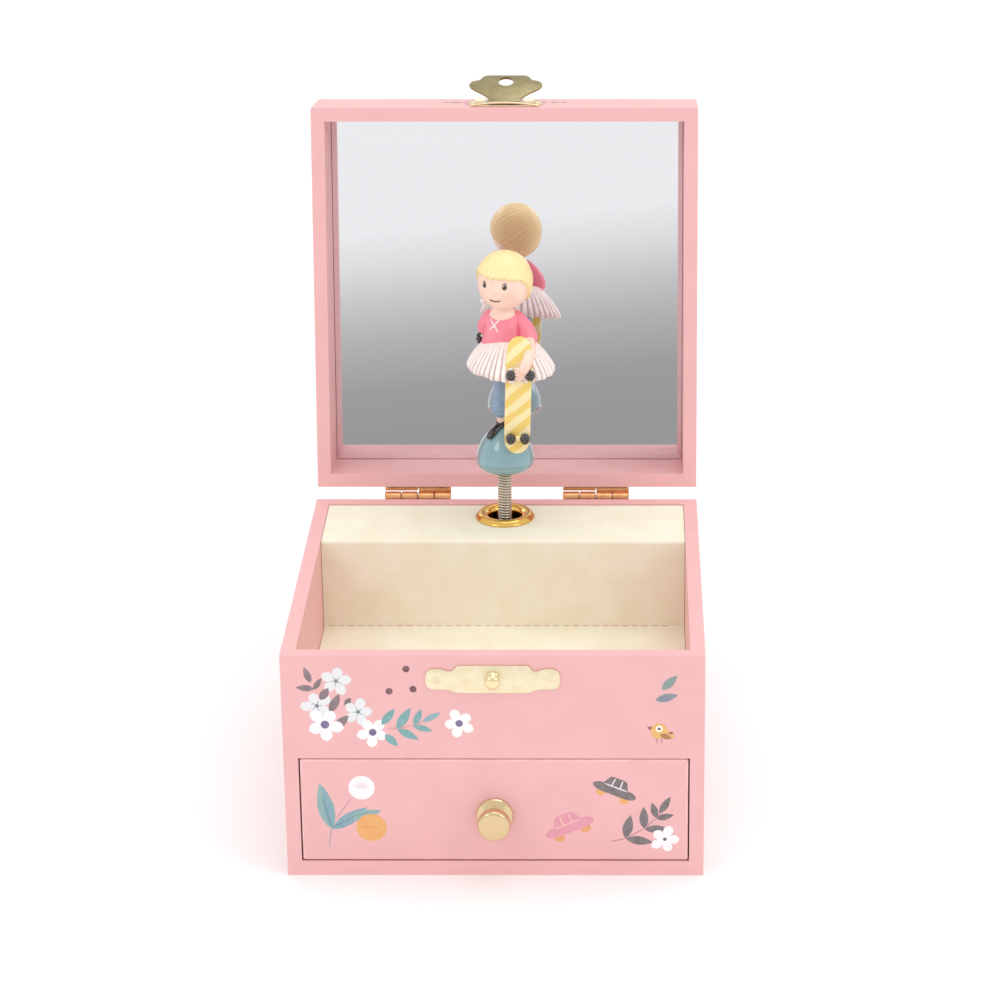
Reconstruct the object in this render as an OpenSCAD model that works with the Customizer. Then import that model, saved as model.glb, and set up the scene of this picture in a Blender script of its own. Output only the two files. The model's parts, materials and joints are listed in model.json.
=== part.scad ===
// Ballerina jewellery box: a papered case with a tray, a drawer and a wind-up movement,
// a hinged mirror lid, and a resin figure on a spring that turns while the tune plays.
// Millimetres. +X to the right, +Y to the back, +Z up. The origin is the centre of the
// footprint, on the surface that the box stands on. The lid is drawn open.

/* [Case] */
// Outside width of the case
case_w = 115; // [112:1:120]
// Outside depth of the case
case_d = 115; // [113:1:118]
// Height of the case up to its rim
case_h = 66.5; // [65:0.5:68]
// Thickness of a papered wall
wall = 4; // [3.6:0.1:4.4]
// Thickness of the paper wrap
paper = 0.3; // [0.2:0.05:0.4]
// Thickness of the bottom board
base_t = 4.35; // [4:0.05:4.6]
// Height of the top of the drawer opening
opening_top = 35.8; // [35:0.1:36.5]
// Height of the tray floor
tray_z = 38.45; // [38.2:0.05:39]
// Distance of the ledge's front edge behind the middle
ledge_y = 24.9; // [24:0.1:25.5]
// Thickness of the cream card
card = 0.5; // [0.4:0.05:0.6]

/* [Lid] */
// Outside height of the lid
lid_h = 27; // [26.5:0.5:29]
// Angle that the lid opens to
lid_open = 98.8; // [95:0.1:105]
// Thickness of the mirror glass
mirror_t = 1.3; // [1:0.1:1.5]
// Margin left round the mirror
mirror_gap = 0.9; // [0.6:0.1:1.5]
// Distance of the hinge pins behind the case
hinge_back = 3.16; // [3:0.02:3.3]
// Distance of the hinge pins below the rim
hinge_drop = 0.74; // [0.7:0.02:0.8]

/* [Drawer] */
// Gap round the drawer front
drawer_gap = 0.65; // [0.5:0.05:0.8]
// Length of the drawer behind its front
drawer_l = 77; // [70:1:77]
// Height of the drawer sides
drawer_side_h = 24.5; // [20:0.5:26]
// Height of the knob's axis
knob_z = 18.7; // [17:0.1:21]
// Diameter of the knob's flange
knob_d = 10.2; // [9:0.1:11]

/* [Figure] */
// Distance of the spindle behind the middle
spindle_y = 44; // [43.9:0.1:44.1]
// Outside diameter of the steel spring
spring_d = 4.2; // [4.2:0.1:4.4]
// Height of the underside of the dome
dome_z = 81.7; // [81.5:0.1:82]
// Radius of the dome
dome_r = 8.6; // [8:0.1:8.7]
// Height of the dome
dome_h = 13.6; // [13:0.1:14]
// Diameter of the brass grommet
grommet_d = 17.7; // [16:0.1:18]

/* [Movement] */
// Teeth of the crown gear on the spring barrel
crown_teeth = 36; // [36]
// Teeth of the pinion on the spindle
spindle_teeth = 9; // [9]
// Teeth of the pinion on the cylinder
cylinder_teeth = 15; // [15]
// Module of the crown gear and its pinions
crown_m = 0.85; // [0.85]
// Height of the spring barrel's axis
barrel_z = 34; // [34]
// Radius of the tune cylinder
cylinder_r = 6.5; // [6:0.1:6.6]
// Number of comb teeth
comb_teeth = 18; // [12:1:18]

/* [Hidden] */

$fn = 64;
eps = 0.01;                            // cutters reach this far past a face
fit = 0.05;                            // radial clearance of a running fit

half_w = case_w / 2;
half_d = case_d / 2;
in_x = half_w - wall;                  // inner faces of the papered walls
in_y = half_d - wall;
board = wall - 2 * paper;              // bare board under the paper on both faces

floor_z = tray_z - card;               // top of the board under the card
divider_t = 2;
partition_t = 2;
partition_y = ledge_y + card;
ledge_top = case_h - 0.8;              // top of the board under the card
ledge_t = 4;
fold_r = 2.5;                          // outer radius of the card's soft front fold
card_side = 0.9;                       // gap at each side of the card

hinge_y = half_d + hinge_back;
hinge_z = case_h - hinge_drop;
hinge_w = 20;
hinge_x = 27;                          // distance of each hinge from the middle
knuckle_r = 1.9;
pin_r = 0.8;
leaf_t = 0.6;
leaf_h = 9;
leaf_step = 0.9;                       // gap between a leaf's edge and the pin's height

lid_gap = 0.15;                        // gap between the rims when closed
lid_z = case_h + lid_gap;
lid_top = lid_z + lid_h;
ceiling = lid_top - wall;              // underside of the lid's top board

catch_z = 59.8;
catch_t = 0.5;
stud_r = 2.1;
hasp_z = lid_z + 5;                    // height of the hasp's pin, lid closed
hasp_off = 1.3;                        // distance of the pin in front of the wall
hasp_y = -half_d - hasp_off;
hasp_rest = 153;                       // how far the flap is folded back at rest
flap_l = hasp_z - catch_z;             // pin to the middle of the flap's hole
flap_t = 0.7;
flap_knuckle_r = 1;
hasp_pin_r = 0.5;
nail_r = 0.65;
nail_hole = nail_r + fit;

spindle_r = 1.25;
stub_r = spring_d / 2 - 0.55 - fit;    // stub that the spring's lower end sits on
spindle_top = 62;
collar_z = 57.6;

crown_r = crown_teeth * crown_m / 2;
pinion_r = spindle_teeth * crown_m / 2;
cyl_pinion_r = cylinder_teeth * crown_m / 2;
crown_y = spindle_y + pinion_r;        // plane where the crown's teeth are in mesh
crown_face = 2;                        // radial width of the crown's teeth
drum_r = 12.5;
drum_front = 30;
disc_y = crown_y + 1.1;
disc_t = 1.4;
arbor_r = 1.5;
bed_y = 51;
cyl_y = crown_y - cyl_pinion_r;
cyl_x0 = 19;
cyl_x1 = 39;
cyl_arbor_r = 0.9;
pin_h = 0.5;
wheel_m = 0.45;
wheel_teeth = 36;
fly_teeth = 9;
fly_z = barrel_z + (wheel_teeth + fly_teeth) * wheel_m / 2;
bracket_x = [17, 42.3, 50];            // left face of each bearing bracket
bracket_t = 1.4;

comb_screw_x = [cyl_x0 + 3, cyl_x1 - 3];
comb_y = cyl_y - 0.3;                  // front face of the comb
comb_t = 0.8;
comb_tip = barrel_z - cylinder_r - pin_h - 0.12;
screw_places = [[-19, 17], [-19, 52], [45, 22]];  // x and z of the movement's screws

drawer_z0 = base_t + 0.15;
drawer_x = in_x - drawer_gap - 0.45;   // outside of the drawer's sides
drawer_back_y = -in_y + drawer_l;
side_t = 2.5;
bottom_t = 2;

board_x = 4.1;                         // middle of the skateboard
board_y = 32.4;                        // front face of its deck
board_z0 = 90.2;
board_z1 = 126.3;
board_w = 7.7;
board_t = 1.4;

pink = "#f5b9ba";
wood = "#c9a673";
cream = "#f5eedd";
gold = "#d9b873";
copper = "#c98a5e";
steel = "#b9bcc0";

module slab(a, b) translate(a) cube(b - a);

module rod_x(x0, x1, r) translate([x0, 0, 0]) rotate([0, 90, 0]) cylinder(h = x1 - x0, r = r);

module rod_y(y0, y1, r) translate([0, y0, 0]) rotate([-90, 0, 0]) cylinder(h = y1 - y0, r = r);

module rod_z(z0, z1, r) translate([0, 0, z0]) cylinder(h = z1 - z0, r = r);

// Turns what is drawn for the closed lid to the open lid.
module open_lid()
    translate([0, hinge_y, hinge_z])
        rotate([-lid_open, 0, 0])
            translate([0, -hinge_y, -hinge_z]) children();

// Turns what is drawn for the fastened hasp to the hasp folded back.
module folded_hasp()
    translate([0, hasp_y, hasp_z])
        rotate([-hasp_rest, 0, 0])
            translate([0, -hasp_y, -hasp_z]) children();

// A spur gear's outline, with straight-sided teeth and some backlash.
// The first tooth points along +X.
module gear_2d(teeth, m) {
    r = teeth * m / 2;
    tip = r + 0.85 * m;
    root = r - 1.05 * m;
    half_root = 0.74 * m;
    half_tip = 0.3 * m;
    polygon([for (i = [0 : teeth - 1], k = [0 : 3])
        let (s = k < 2 ? -1 : 1,
            out = k == 1 || k == 2,
            x = out ? tip : sqrt(root * root - half_root * half_root),
            y = s * (out ? half_tip : half_root),
            a = i * 360 / teeth)
        [x * cos(a) - y * sin(a), x * sin(a) + y * cos(a)]]);
}

// ---- case ----

// The four walls' space as one ring, between two insets from the outside.
module wall_ring(outer, inner, z1)
    difference() {
        slab([-half_w + outer, -half_d + outer, 0], [half_w - outer, half_d - outer, z1]);
        slab([-half_w + inner, -half_d + inner, -eps], [half_w - inner, half_d - inner, z1 + eps]);
    }

module drawer_opening(grow)
    slab([-in_x - grow, -half_d - 1, base_t - grow], [in_x + grow, -in_y + 1, opening_top + grow]);

module back_holes(grow) {
    translate([0, 0, barrel_z]) rod_y(in_y - 1, half_d + 1, 4 + grow);
    for (p = screw_places) translate([p[0], 0, p[1]]) rod_y(in_y - 1, half_d + 1, 1.15 + grow);
}

module base_panel() color(wood)
    slab([-in_x, -in_y, 0], [in_x, in_y, base_t]);

module side_panel(side)
    mirror([side < 0 ? 1 : 0, 0, 0])
        slab([in_x + paper, -half_d + paper, 0], [half_w - paper, half_d - paper, case_h - paper]);

module left_side_panel() color(wood) side_panel(-1);

module right_side_panel() color(wood) side_panel(1);

module back_panel() color(wood)
    difference() {
        slab([-in_x - paper, in_y + paper, 0], [in_x + paper, half_d - paper, case_h - paper]);
        back_holes(0);
    }

module front_panel() color(wood)
    slab([-in_x - paper, -half_d + paper, opening_top + paper],
        [in_x + paper, -in_y - paper, case_h - paper]);

module front_rail() color(wood)
    slab([-in_x - paper, -half_d + paper, 0], [in_x + paper, -in_y - paper, base_t - paper]);

module case_wrap() color(pink)
    difference() {
        wall_ring(0, wall, case_h);
        translate([0, 0, -eps]) wall_ring(paper, wall - paper, case_h - paper + eps);
        drawer_opening(0);
        back_holes(0);
    }

module divider_panel() color(wood)
    slab([-in_x, -in_y, floor_z - divider_t], [in_x, partition_y, floor_z]);

module partition_panel() color(wood)
    slab([-in_x, partition_y, base_t], [in_x, partition_y + partition_t, ledge_top - ledge_t]);

// The ledge's body between -w and w, inset from the card's outer face, with its soft corner.
module ledge_body(w, inset, y1, z0) {
    corner_y = ledge_y + fold_r;
    corner_z = ledge_top + card - fold_r;
    slab([-w, corner_y, z0], [w, y1, ledge_top + card - inset]);
    slab([-w, ledge_y + inset, z0], [w, corner_y + eps, corner_z]);
    translate([0, corner_y, corner_z]) rod_x(-w, w, fold_r - inset);
}

module ledge_panel() color(wood)
    difference() {
        ledge_body(in_x, card, in_y, ledge_top - ledge_t);
        translate([0, spindle_y, 0]) rod_z(ledge_top - ledge_t - 1, ledge_top + 1, 6.3);
    }

// One folded card: the tray's floor, the wall behind it and the top of the ledge.
module liner_card() color(cream)
    difference() {
        union() {
            slab([-in_x + card_side, -in_y + 0.3, floor_z], [in_x - card_side, ledge_y + card, tray_z]);
            ledge_body(in_x - card_side, 0, in_y - 0.4, floor_z);
        }
        ledge_body(in_x, card, in_y + 1, floor_z - 1);
        translate([0, spindle_y, 0]) rod_z(ledge_top - 1, ledge_top + 2, 6.3);
    }

// Brass eyelet with a rolled rim, set in the ledge.
module grommet() color(gold)
    translate([0, spindle_y, 0]) rotate_extrude() {
        rim = ledge_top + card;
        out = grommet_d / 2;
        polygon([[4.75, ledge_top - ledge_t], [6.25, ledge_top - ledge_t], [6.25, rim],
            [out - 0.5, rim], [out, rim + 0.5], [out - 0.3, rim + 1.1], [out - 1.2, rim + 1.6],
            [out - 2.4, rim + 1.7], [5.6, rim + 1.2], [4.75, rim + 0.4]]);
    }

// ---- hinges ----

// One leaf on the back of a wall, with its knuckle. up is 1 for the lid, -1 for the case.
module hinge_leaf(x, up) {
    edge = hinge_z + up * leaf_step;
    knuckle = up > 0 ? [0.15, hinge_w / 2] : [-hinge_w / 2, -0.15];
    z = [edge, edge + up * leaf_h];
    translate([x, 0, 0]) difference() {
        union() {
            slab([-hinge_w / 2, half_d, min(z)], [hinge_w / 2, half_d + leaf_t, max(z)]);
            translate([0, hinge_y, hinge_z]) rod_x(knuckle[0], knuckle[1], knuckle_r);
            slab([knuckle[0], half_d, min(edge, edge + up * 0.9)],
                [knuckle[1], hinge_y, max(edge, edge + up * 0.9)]);
        }
        translate([0, hinge_y, hinge_z]) rod_x(knuckle[0] - 1, knuckle[1] + 1, pin_r + fit);
        for (s = [-1, 1]) translate([s * 6, 0, edge + up * leaf_h * 0.62])
            rod_y(half_d - 1, half_d + 1, nail_hole);
    }
}

module hinge_nails(up)
    for (x = [-hinge_x, hinge_x], s = [-6, 6])
        translate([x + s, 0, hinge_z + up * (leaf_step + leaf_h * 0.62)]) {
            rod_y(half_d - 3, half_d + leaf_t, nail_r);
            translate([0, half_d + leaf_t, 0]) rotate([-90, 0, 0]) cylinder(h = 0.5, r1 = 1.3, r2 = 0.7);
        }

module hinge_case_leaves() color(copper)
    for (x = [-hinge_x, hinge_x]) hinge_leaf(x, -1);

module hinge_lid_leaves() color(copper)
    open_lid() for (x = [-hinge_x, hinge_x]) hinge_leaf(x, 1);

module hinge_pins() color(steel)
    for (x = [-hinge_x, hinge_x])
        translate([x, hinge_y, hinge_z]) rod_x(-hinge_w / 2, hinge_w / 2, pin_r);

module hinge_case_nails() color(copper) hinge_nails(-1);

module hinge_lid_nails() color(copper) open_lid() hinge_nails(1);

// ---- catch and hasp ----

// Plate outline: a tall middle with a wave down to a lower rounded end on each side.
module catch_outline() {
    square([21.4, 8.3], center = true);
    square([31, 6.2], center = true);
    for (s = [-1, 1]) {
        translate([s * 13, 0]) circle(3.75);
        translate([s * 15.2, 0]) circle(3.1);
        translate([s * 17, 0]) circle(1.2);
    }
}

module front_plate(z, t)
    translate([0, -half_d, z]) rotate([90, 0, 0]) linear_extrude(t) children();

module catch_plate() color(gold)
    difference() {
        front_plate(catch_z, catch_t) catch_outline();
        translate([0, 0, catch_z]) rod_y(-half_d - 1, -half_d + 1, 0.85);
        for (x = [-15.4, 15.4]) translate([x, 0, catch_z]) rod_y(-half_d - 1, -half_d + 1, nail_hole);
    }

// Round-headed stud that the hasp's hole drops over, riveted through the plate.
module catch_stud() color(gold)
    translate([0, -half_d, catch_z]) rotate([90, 0, 0]) rotate_extrude()
        polygon([[0, -3], [0.8, -3], [0.8, catch_t], [stud_r, catch_t], [1.5, catch_t + 0.9],
            [1.5, catch_t + 1.5], [stud_r, catch_t + 1.9], [stud_r, catch_t + 2.4],
            [1.5, catch_t + 3], [0, catch_t + 3.2]]);

module front_nails(xs, z, t)
    for (x = xs) translate([x, 0, z]) {
        rod_y(-half_d - t, -half_d + 3, nail_r);
        translate([0, -half_d - t, 0]) rotate([90, 0, 0]) cylinder(h = 0.5, r1 = 1.2, r2 = 0.6);
    }

module catch_nails() color(gold) front_nails([-15.4, 15.4], catch_z, catch_t);

// Base plate of the hasp, on the lid's front, with a rolled edge round the pin.
module hasp_plate() color(gold)
    open_lid() difference() {
        union() {
            front_plate(hasp_z + 5, catch_t) {
                square([21, 6], center = true);
                for (s = [-1, 1]) translate([s * 9.5, 0]) circle(3);
            }
            for (s = [-1, 1]) translate([s * 7.25, hasp_y, hasp_z]) {
                rod_x(-1.75, 1.75, hasp_off);
                slab([-1.75, 0, -hasp_off], [1.75, hasp_off, 2.2]);
            }
            slab([-9, -half_d - catch_t, hasp_z - hasp_off], [9, -half_d, hasp_z + 3]);
        }
        translate([0, hasp_y, hasp_z]) rod_x(-12, 12, hasp_pin_r + fit);
        for (x = [-9.5, 9.5]) translate([x, 0, hasp_z + 5]) rod_y(-half_d - 1, -half_d + 1, nail_hole);
        translate([0, hasp_y, hasp_z]) rod_x(-5.4, 5.4, flap_knuckle_r + 0.1);
    }

module hasp_pin() color(steel)
    open_lid() translate([0, hasp_y, hasp_z]) rod_x(-9, 9, hasp_pin_r);

module hasp_nails() color(gold) open_lid() front_nails([-9.5, 9.5], hasp_z + 5, catch_t);

// Half of the flap's outline: neck at the pin, wing, and straight end past the hole.
module flap_outline() {
    half = [[0, -0.7], [4.6, -0.7], [4.9, -2.2], [6.1, -4], [8.4, -6.2], [11, -8], [12.1, -9.7],
        [11.9, -11.3], [10.6, -12.4], [8.6, -12.7], [8, -13.6], [7, -14.9], [5.6, -15.4], [0, -15.4]];
    difference() {
        for (s = [0, 1]) mirror([s, 0]) polygon(half);
        translate([0, -flap_l]) circle(stud_r + 0.25);
    }
}

module hasp_flap() color(gold)
    open_lid() folded_hasp() difference() {
        union() {
            translate([0, hasp_y - 0.3, hasp_z]) rotate([90, 0, 0])
                linear_extrude(flap_t) flap_outline();
            translate([0, hasp_y, hasp_z]) rod_x(-5, 5, flap_knuckle_r);
        }
        translate([0, hasp_y, hasp_z]) rod_x(-6, 6, hasp_pin_r + fit);
    }

// ---- lid ----

module lid_box(outer, inner, z0, z1)
    difference() {
        slab([-half_w + outer, -half_d + outer, z0], [half_w - outer, half_d - outer, z1]);
        slab([-half_w + inner, -half_d + inner, z0 - eps], [half_w - inner, half_d - inner, z1 + eps]);
    }

module lid_top_panel() color(wood)
    open_lid() slab([-half_w + paper, -half_d + paper, ceiling],
        [half_w - paper, half_d - paper, lid_top - paper]);

module lid_side_wall(side)
    open_lid() mirror([side < 0 ? 1 : 0, 0, 0])
        slab([in_x + paper, -half_d + paper, lid_z + paper], [half_w - paper, half_d - paper, ceiling]);

module lid_left_wall() color(wood) lid_side_wall(-1);

module lid_right_wall() color(wood) lid_side_wall(1);

module lid_cross_wall(side)
    open_lid() mirror([0, side < 0 ? 1 : 0, 0])
        slab([-in_x - paper, in_y + paper, lid_z + paper], [in_x + paper, half_d - paper, ceiling]);

module lid_front_wall() color(wood) lid_cross_wall(-1);

module lid_back_wall() color(wood) lid_cross_wall(1);

module lid_wrap() color(pink)
    open_lid() union() {
        difference() {
            lid_box(0, wall, lid_z, ceiling);
            lid_box(paper, wall - paper, lid_z + paper, ceiling + eps);
        }
        difference() {
            slab([-half_w, -half_d, ceiling], [half_w, half_d, lid_top]);
            slab([-half_w + paper, -half_d + paper, ceiling - eps],
                [half_w - paper, half_d - paper, lid_top - paper]);
        }
    }

module mirror_glass() color("lightsteelblue")
    open_lid() slab([-in_x + mirror_gap, -in_y + mirror_gap, ceiling - mirror_t],
        [in_x - mirror_gap, in_y - mirror_gap, ceiling]);

// ---- drawer ----

module drawer_front() color(pink)
    difference() {
        slab([-in_x + drawer_gap, -half_d, base_t + drawer_gap],
            [in_x - drawer_gap, -in_y, opening_top - drawer_gap]);
        translate([0, 0, knob_z]) rod_y(-half_d - 1, -in_y + 1, 1.7);
    }

module drawer_side(side)
    mirror([side < 0 ? 1 : 0, 0, 0])
        slab([drawer_x - side_t, -in_y, drawer_z0], [drawer_x, drawer_back_y, drawer_z0 + drawer_side_h]);

module drawer_left_side() color(wood) drawer_side(-1);

module drawer_right_side() color(wood) drawer_side(1);

module drawer_back() color(wood)
    slab([-drawer_x + side_t, drawer_back_y - side_t, drawer_z0],
        [drawer_x - side_t, drawer_back_y, drawer_z0 + drawer_side_h]);

module drawer_bottom() color(wood)
    slab([-drawer_x + side_t, -in_y, drawer_z0 + 0.5],
        [drawer_x - side_t, drawer_back_y - side_t, drawer_z0 + 0.5 + bottom_t]);

// Turned knob: flange, waist and a flat-faced head with a chamfer.
module drawer_knob() color(gold)
    translate([0, -half_d, knob_z]) rotate([90, 0, 0]) rotate_extrude()
        polygon([[1.55, 0], [knob_d / 2 - 0.4, 0], [knob_d / 2, 0.4], [knob_d / 2, 0.9],
            [knob_d / 2 - 0.7, 1.3], [2.8, 1.7], [2.5, 2.6], [3, 3.6], [4.2, 4.4], [4.5, 4.9],
            [4.5, 7], [3.9, 7.8], [0, 7.8], [0, 5.2], [1.55, 5.2]]);

module knob_screw() color(steel)
    translate([0, 0, knob_z]) {
        rod_y(-half_d - 5, -in_y + 0.3, 1.5);
        rod_y(-in_y, -in_y + 0.6, 4);
        difference() {
            rod_y(-in_y + 0.6, -in_y + 2.2, 2.8);
            slab([-0.4, -in_y + 1.4, -2.2], [0.4, -in_y + 3, 2.2]);
            slab([-2.2, -in_y + 1.4, -0.4], [2.2, -in_y + 3, 0.4]);
        }
    }

// ---- movement ----

module bedplate() color(steel)
    difference() {
        union() {
            slab([-24, bed_y, 12], [53, in_y, 59]);
            slab([-5.5, 39.5, 52.5], [5.5, bed_y, 57]);
            slab([cyl_x0, cyl_y + 0.5, 12.5], [cyl_x1, bed_y, 18]);
        }
        translate([0, 0, barrel_z]) rod_y(bed_y - 1, in_y + 1, arbor_r + fit);
        translate([0, spindle_y, 0]) rod_z(50, 60, spindle_r + fit);
        for (p = screw_places) translate([p[0], 0, p[1]]) rod_y(bed_y - 1, in_y + 1, 1.1);
        for (x = comb_screw_x) translate([x, 0, 15.2]) rod_y(cyl_y, bed_y, 0.85);
    }

module bearing_brackets() color(steel)
    for (i = [0 : 2]) difference() {
        slab([bracket_x[i], 38, i == 2 ? 41 : 30],
            [bracket_x[i] + bracket_t, bed_y, i == 0 ? 38 : 47.5]);
        translate([0, cyl_y, barrel_z]) rod_x(0, 60, cyl_arbor_r + fit);
        translate([0, cyl_y, fly_z]) rod_x(0, 60, cyl_arbor_r + fit);
    }

module movement_screws() color(steel)
    for (p = screw_places) translate([p[0], 0, p[1]]) {
        rod_y(bed_y, half_d, 1.05);
        rod_y(half_d, half_d + 0.7, 2.5);
        difference() {
            rod_y(half_d + 0.7, half_d + 1.3, 2);
            slab([-0.3, half_d + 0.9, -3], [0.3, half_d + 2, 3]);
        }
    }

module comb() color(steel)
    difference() {
        slab([cyl_x0, comb_y, 13], [cyl_x1, comb_y + comb_t, comb_tip]);
        for (i = [0 : comb_teeth])
            let (x = cyl_x0 + (cyl_x1 - cyl_x0) * i / comb_teeth)
            slab([x - 0.15, comb_y - 1, 18.5 + 2.5 * i / comb_teeth], [x + 0.15, comb_y + 2, 30]);
        for (x = comb_screw_x) translate([x, 0, 15.2]) rod_y(comb_y - 1, comb_y + 2, 0.85);
    }

module comb_screws() color(steel)
    for (x = comb_screw_x) translate([x, 0, 15.2]) {
        rod_y(comb_y, comb_y + 5, 0.8);
        rod_y(comb_y - 1, comb_y, 1.6);
    }

module brake_spring() color(steel)
    translate([0, 0, barrel_z]) difference() {
        rod_y(disc_y + disc_t + 0.1, bed_y, 2.6);
        rod_y(disc_y, bed_y + 1, arbor_r + fit);
    }

// One crown tooth, drawn at the top of the wheel, pointing to the front.
module crown_tooth() {
    half_root = 0.74 * crown_m;
    half_tip = 0.3 * crown_m;
    tip = 0.85 * crown_m;
    root = disc_y - crown_y + eps;
    translate([0, crown_y, crown_r - crown_face / 2]) linear_extrude(crown_face)
        polygon([[-half_root, root], [-half_tip, -tip], [half_tip, -tip], [half_root, root]]);
}

module spring_barrel() color(gold)
    translate([0, 0, barrel_z]) {
        difference() {
            union() {
                rod_y(drum_front, disc_y, drum_r);
                rod_y(disc_y, disc_y + disc_t, crown_r + 1.2);
            }
            rod_y(drum_front + 1, disc_y, drum_r - 0.8);
            rod_y(drum_front - 1, disc_y + 3, arbor_r + fit);
        }
        for (i = [0 : crown_teeth - 1]) rotate([0, (i + 0.5) * 360 / crown_teeth, 0]) crown_tooth();
    }

// Coiled ribbon that drives the barrel.
module mainspring() color("slategray")
    translate([0, drum_front + 1.4, barrel_z]) rotate([-90, 0, 0])
        linear_extrude(disc_y - drum_front - 1.8) {
            turns = 6;
            steps = turns * 20;
            grow = (drum_r - 3.8) / steps;
            polygon(concat(
                [for (i = [0 : steps]) (2.4 + grow * i) * [cos(i * 18), sin(i * 18)]],
                [for (i = [steps : -1 : 0]) (2.8 + grow * i) * [cos(i * 18), sin(i * 18)]]));
        }

module winding_arbor() color(steel)
    translate([0, 0, barrel_z]) rod_y(drum_front - 0.6, half_d + 6, arbor_r);

// Wing key, on the part of the arbor that sticks out behind.
module winding_key() color(gold)
    translate([0, 0, barrel_z]) difference() {
        union() {
            rod_y(half_d + 1.2, half_d + 7, 2.6);
            translate([0, half_d + 7, 0]) rotate([-90, 0, 0]) {
                for (s = [-1, 1]) translate([s * 5, 0, 4.4]) rotate([90, 0, 0])
                    translate([0, 0, -0.7]) cylinder(h = 1.4, r = 4.6);
                translate([-5, -0.7, 0]) cube([10, 1.4, 7]);
                translate([0, 0, -1]) cylinder(h = 3, r = 2.6);
            }
        }
        rod_y(half_d, half_d + 6, arbor_r);
        for (s = [-1, 1]) translate([s * 5.2, half_d + 11.4, -2]) rod_z(0, 4, 2);
    }

// Tune cylinder with its pins: each pin's turn is a fixed step on from the last.
module music_cylinder() color(gold)
    translate([0, cyl_y, barrel_z]) difference() {
        union() {
            rod_x(cyl_x0, cyl_x1, cylinder_r);
            for (i = [0 : 2 * comb_teeth - 1])
                let (x = cyl_x0 + (cyl_x1 - cyl_x0) * ((i % comb_teeth) + 0.5) / comb_teeth)
                rotate([i * 137.5, 0, 0]) translate([x, 0, cylinder_r - 0.3])
                    cylinder(h = pin_h + 0.3, r = 0.2, $fn = 16);
        }
        rod_x(cyl_x0 - 1, cyl_x1 + 1, cyl_arbor_r);
    }

module cylinder_arbor() color(steel)
    translate([0, cyl_y, barrel_z]) rod_x(13.4, 44.2, cyl_arbor_r);

module x_gear(teeth, m, x, w, z, bore, turn)
    translate([x, cyl_y, z]) rotate([0, 90, 0]) rotate([0, 0, turn]) difference() {
        linear_extrude(w) gear_2d(teeth, m);
        translate([0, 0, -1]) cylinder(h = w + 2, r = bore);
    }

module cylinder_pinion() color(gold)
    x_gear(cylinder_teeth, crown_m, crown_r - crown_face / 2, crown_face, barrel_z, cyl_arbor_r, 90);

module cylinder_wheel() color(gold)
    x_gear(wheel_teeth, wheel_m, 40, 1.2, barrel_z, cyl_arbor_r, 180);

// Air brake: a pinion and two vanes on one shaft.
module governor_fly() color("whitesmoke")
    union() {
        x_gear(fly_teeth, wheel_m, 39.8, 1.6, fly_z, cyl_arbor_r - 0.2, 180);
        translate([0, cyl_y, fly_z]) {
            rod_x(39.5, 51.8, cyl_arbor_r);
            rod_x(44.2, 49.4, 1.5);
            slab([44.4, -0.3, -5], [49.2, 0.3, 5]);
        }
    }

module spindle() color(steel)
    translate([0, spindle_y, 0]) {
        rod_z(46.9, spindle_top - 3.5, spindle_r);
        rod_z(collar_z, spindle_top - 3, 2.4);
        rod_z(spindle_top - 3, spindle_top, stub_r);
    }

module spindle_pinion() color(gold)
    translate([0, spindle_y, barrel_z + crown_r - crown_face / 2 - 0.1]) rotate([0, 0, 90])
        difference() {
            linear_extrude(crown_face + 0.2) gear_2d(spindle_teeth, crown_m);
            translate([0, 0, -1]) cylinder(h = 5, r = spindle_r);
        }

// ---- figure ----

// Close-wound steel spring, as the tube that its turns fill.
module figure_spring() color(steel)
    translate([0, spindle_y, 0]) difference() {
        rod_z(spindle_top - 2.9, dome_z + 2.4, spring_d / 2);
        rod_z(spindle_top - 4, dome_z + 3, stub_r + fit);
    }

module figure_dome() color("#7fa6ad")
    translate([0.3, spindle_y, dome_z]) difference() {
        rotate_extrude() {
            belly = 3;
            polygon(concat(
                [[0, 0], [dome_r - 2.2, 0]],
                [for (a = [-60 : 20 : -20]) [dome_r - 2.2 + 2.2 * cos(a), belly + belly * sin(a)]],
                [for (a = [0 : 9 : 81]) [dome_r * cos(a), belly + (dome_h - belly) * sin(a)]],
                [[0, dome_h]]));
        }
        translate([-0.3, 0, 0]) rod_z(-1, 2.6, spring_d / 2 + fit);
    }

module doll_arm(a, b, r1, r2) hull() {
    translate(a) sphere(r1, $fn = 20);
    translate(b) sphere(r2, $fn = 20);
}

// The doll: shoes, legs, pleated skirt, blouse, arms, head and hair.
module figure_doll() color("#f77f92")
    translate([0.6, spindle_y - 0.5, 0]) {
        for (s = [-1, 1]) {
            translate([s * 2.4, -0.4, 93.2]) cylinder(h = 20, r1 = 1.9, r2 = 2.6);
        }
        translate([0.6, 0.5, 112.6]) cylinder(h = 1.6, r1 = 11.6, r2 = 12.6);
        translate([0.6, 0.5, 114.2]) cylinder(h = 9.6, r1 = 12.6, r2 = 5.6);
        translate([0, 0, 123]) cylinder(h = 9.5, r1 = 5.4, r2 = 3.4);
        translate([0, 0, 131]) cylinder(h = 3, r = 2.4);
        translate([-0.4, -0.6, 141.2]) sphere(8.5);
        doll_arm([4.6, -0.6, 130], [7.6, -5, 123.4], 2.1, 2.5);
        doll_arm([7.6, -5, 123.4], [5.4, -9.6, 118], 2, 1.7);
        doll_arm([-4.6, 0, 130], [-7, 3.4, 123.4], 2.1, 2.4);
    }

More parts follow.
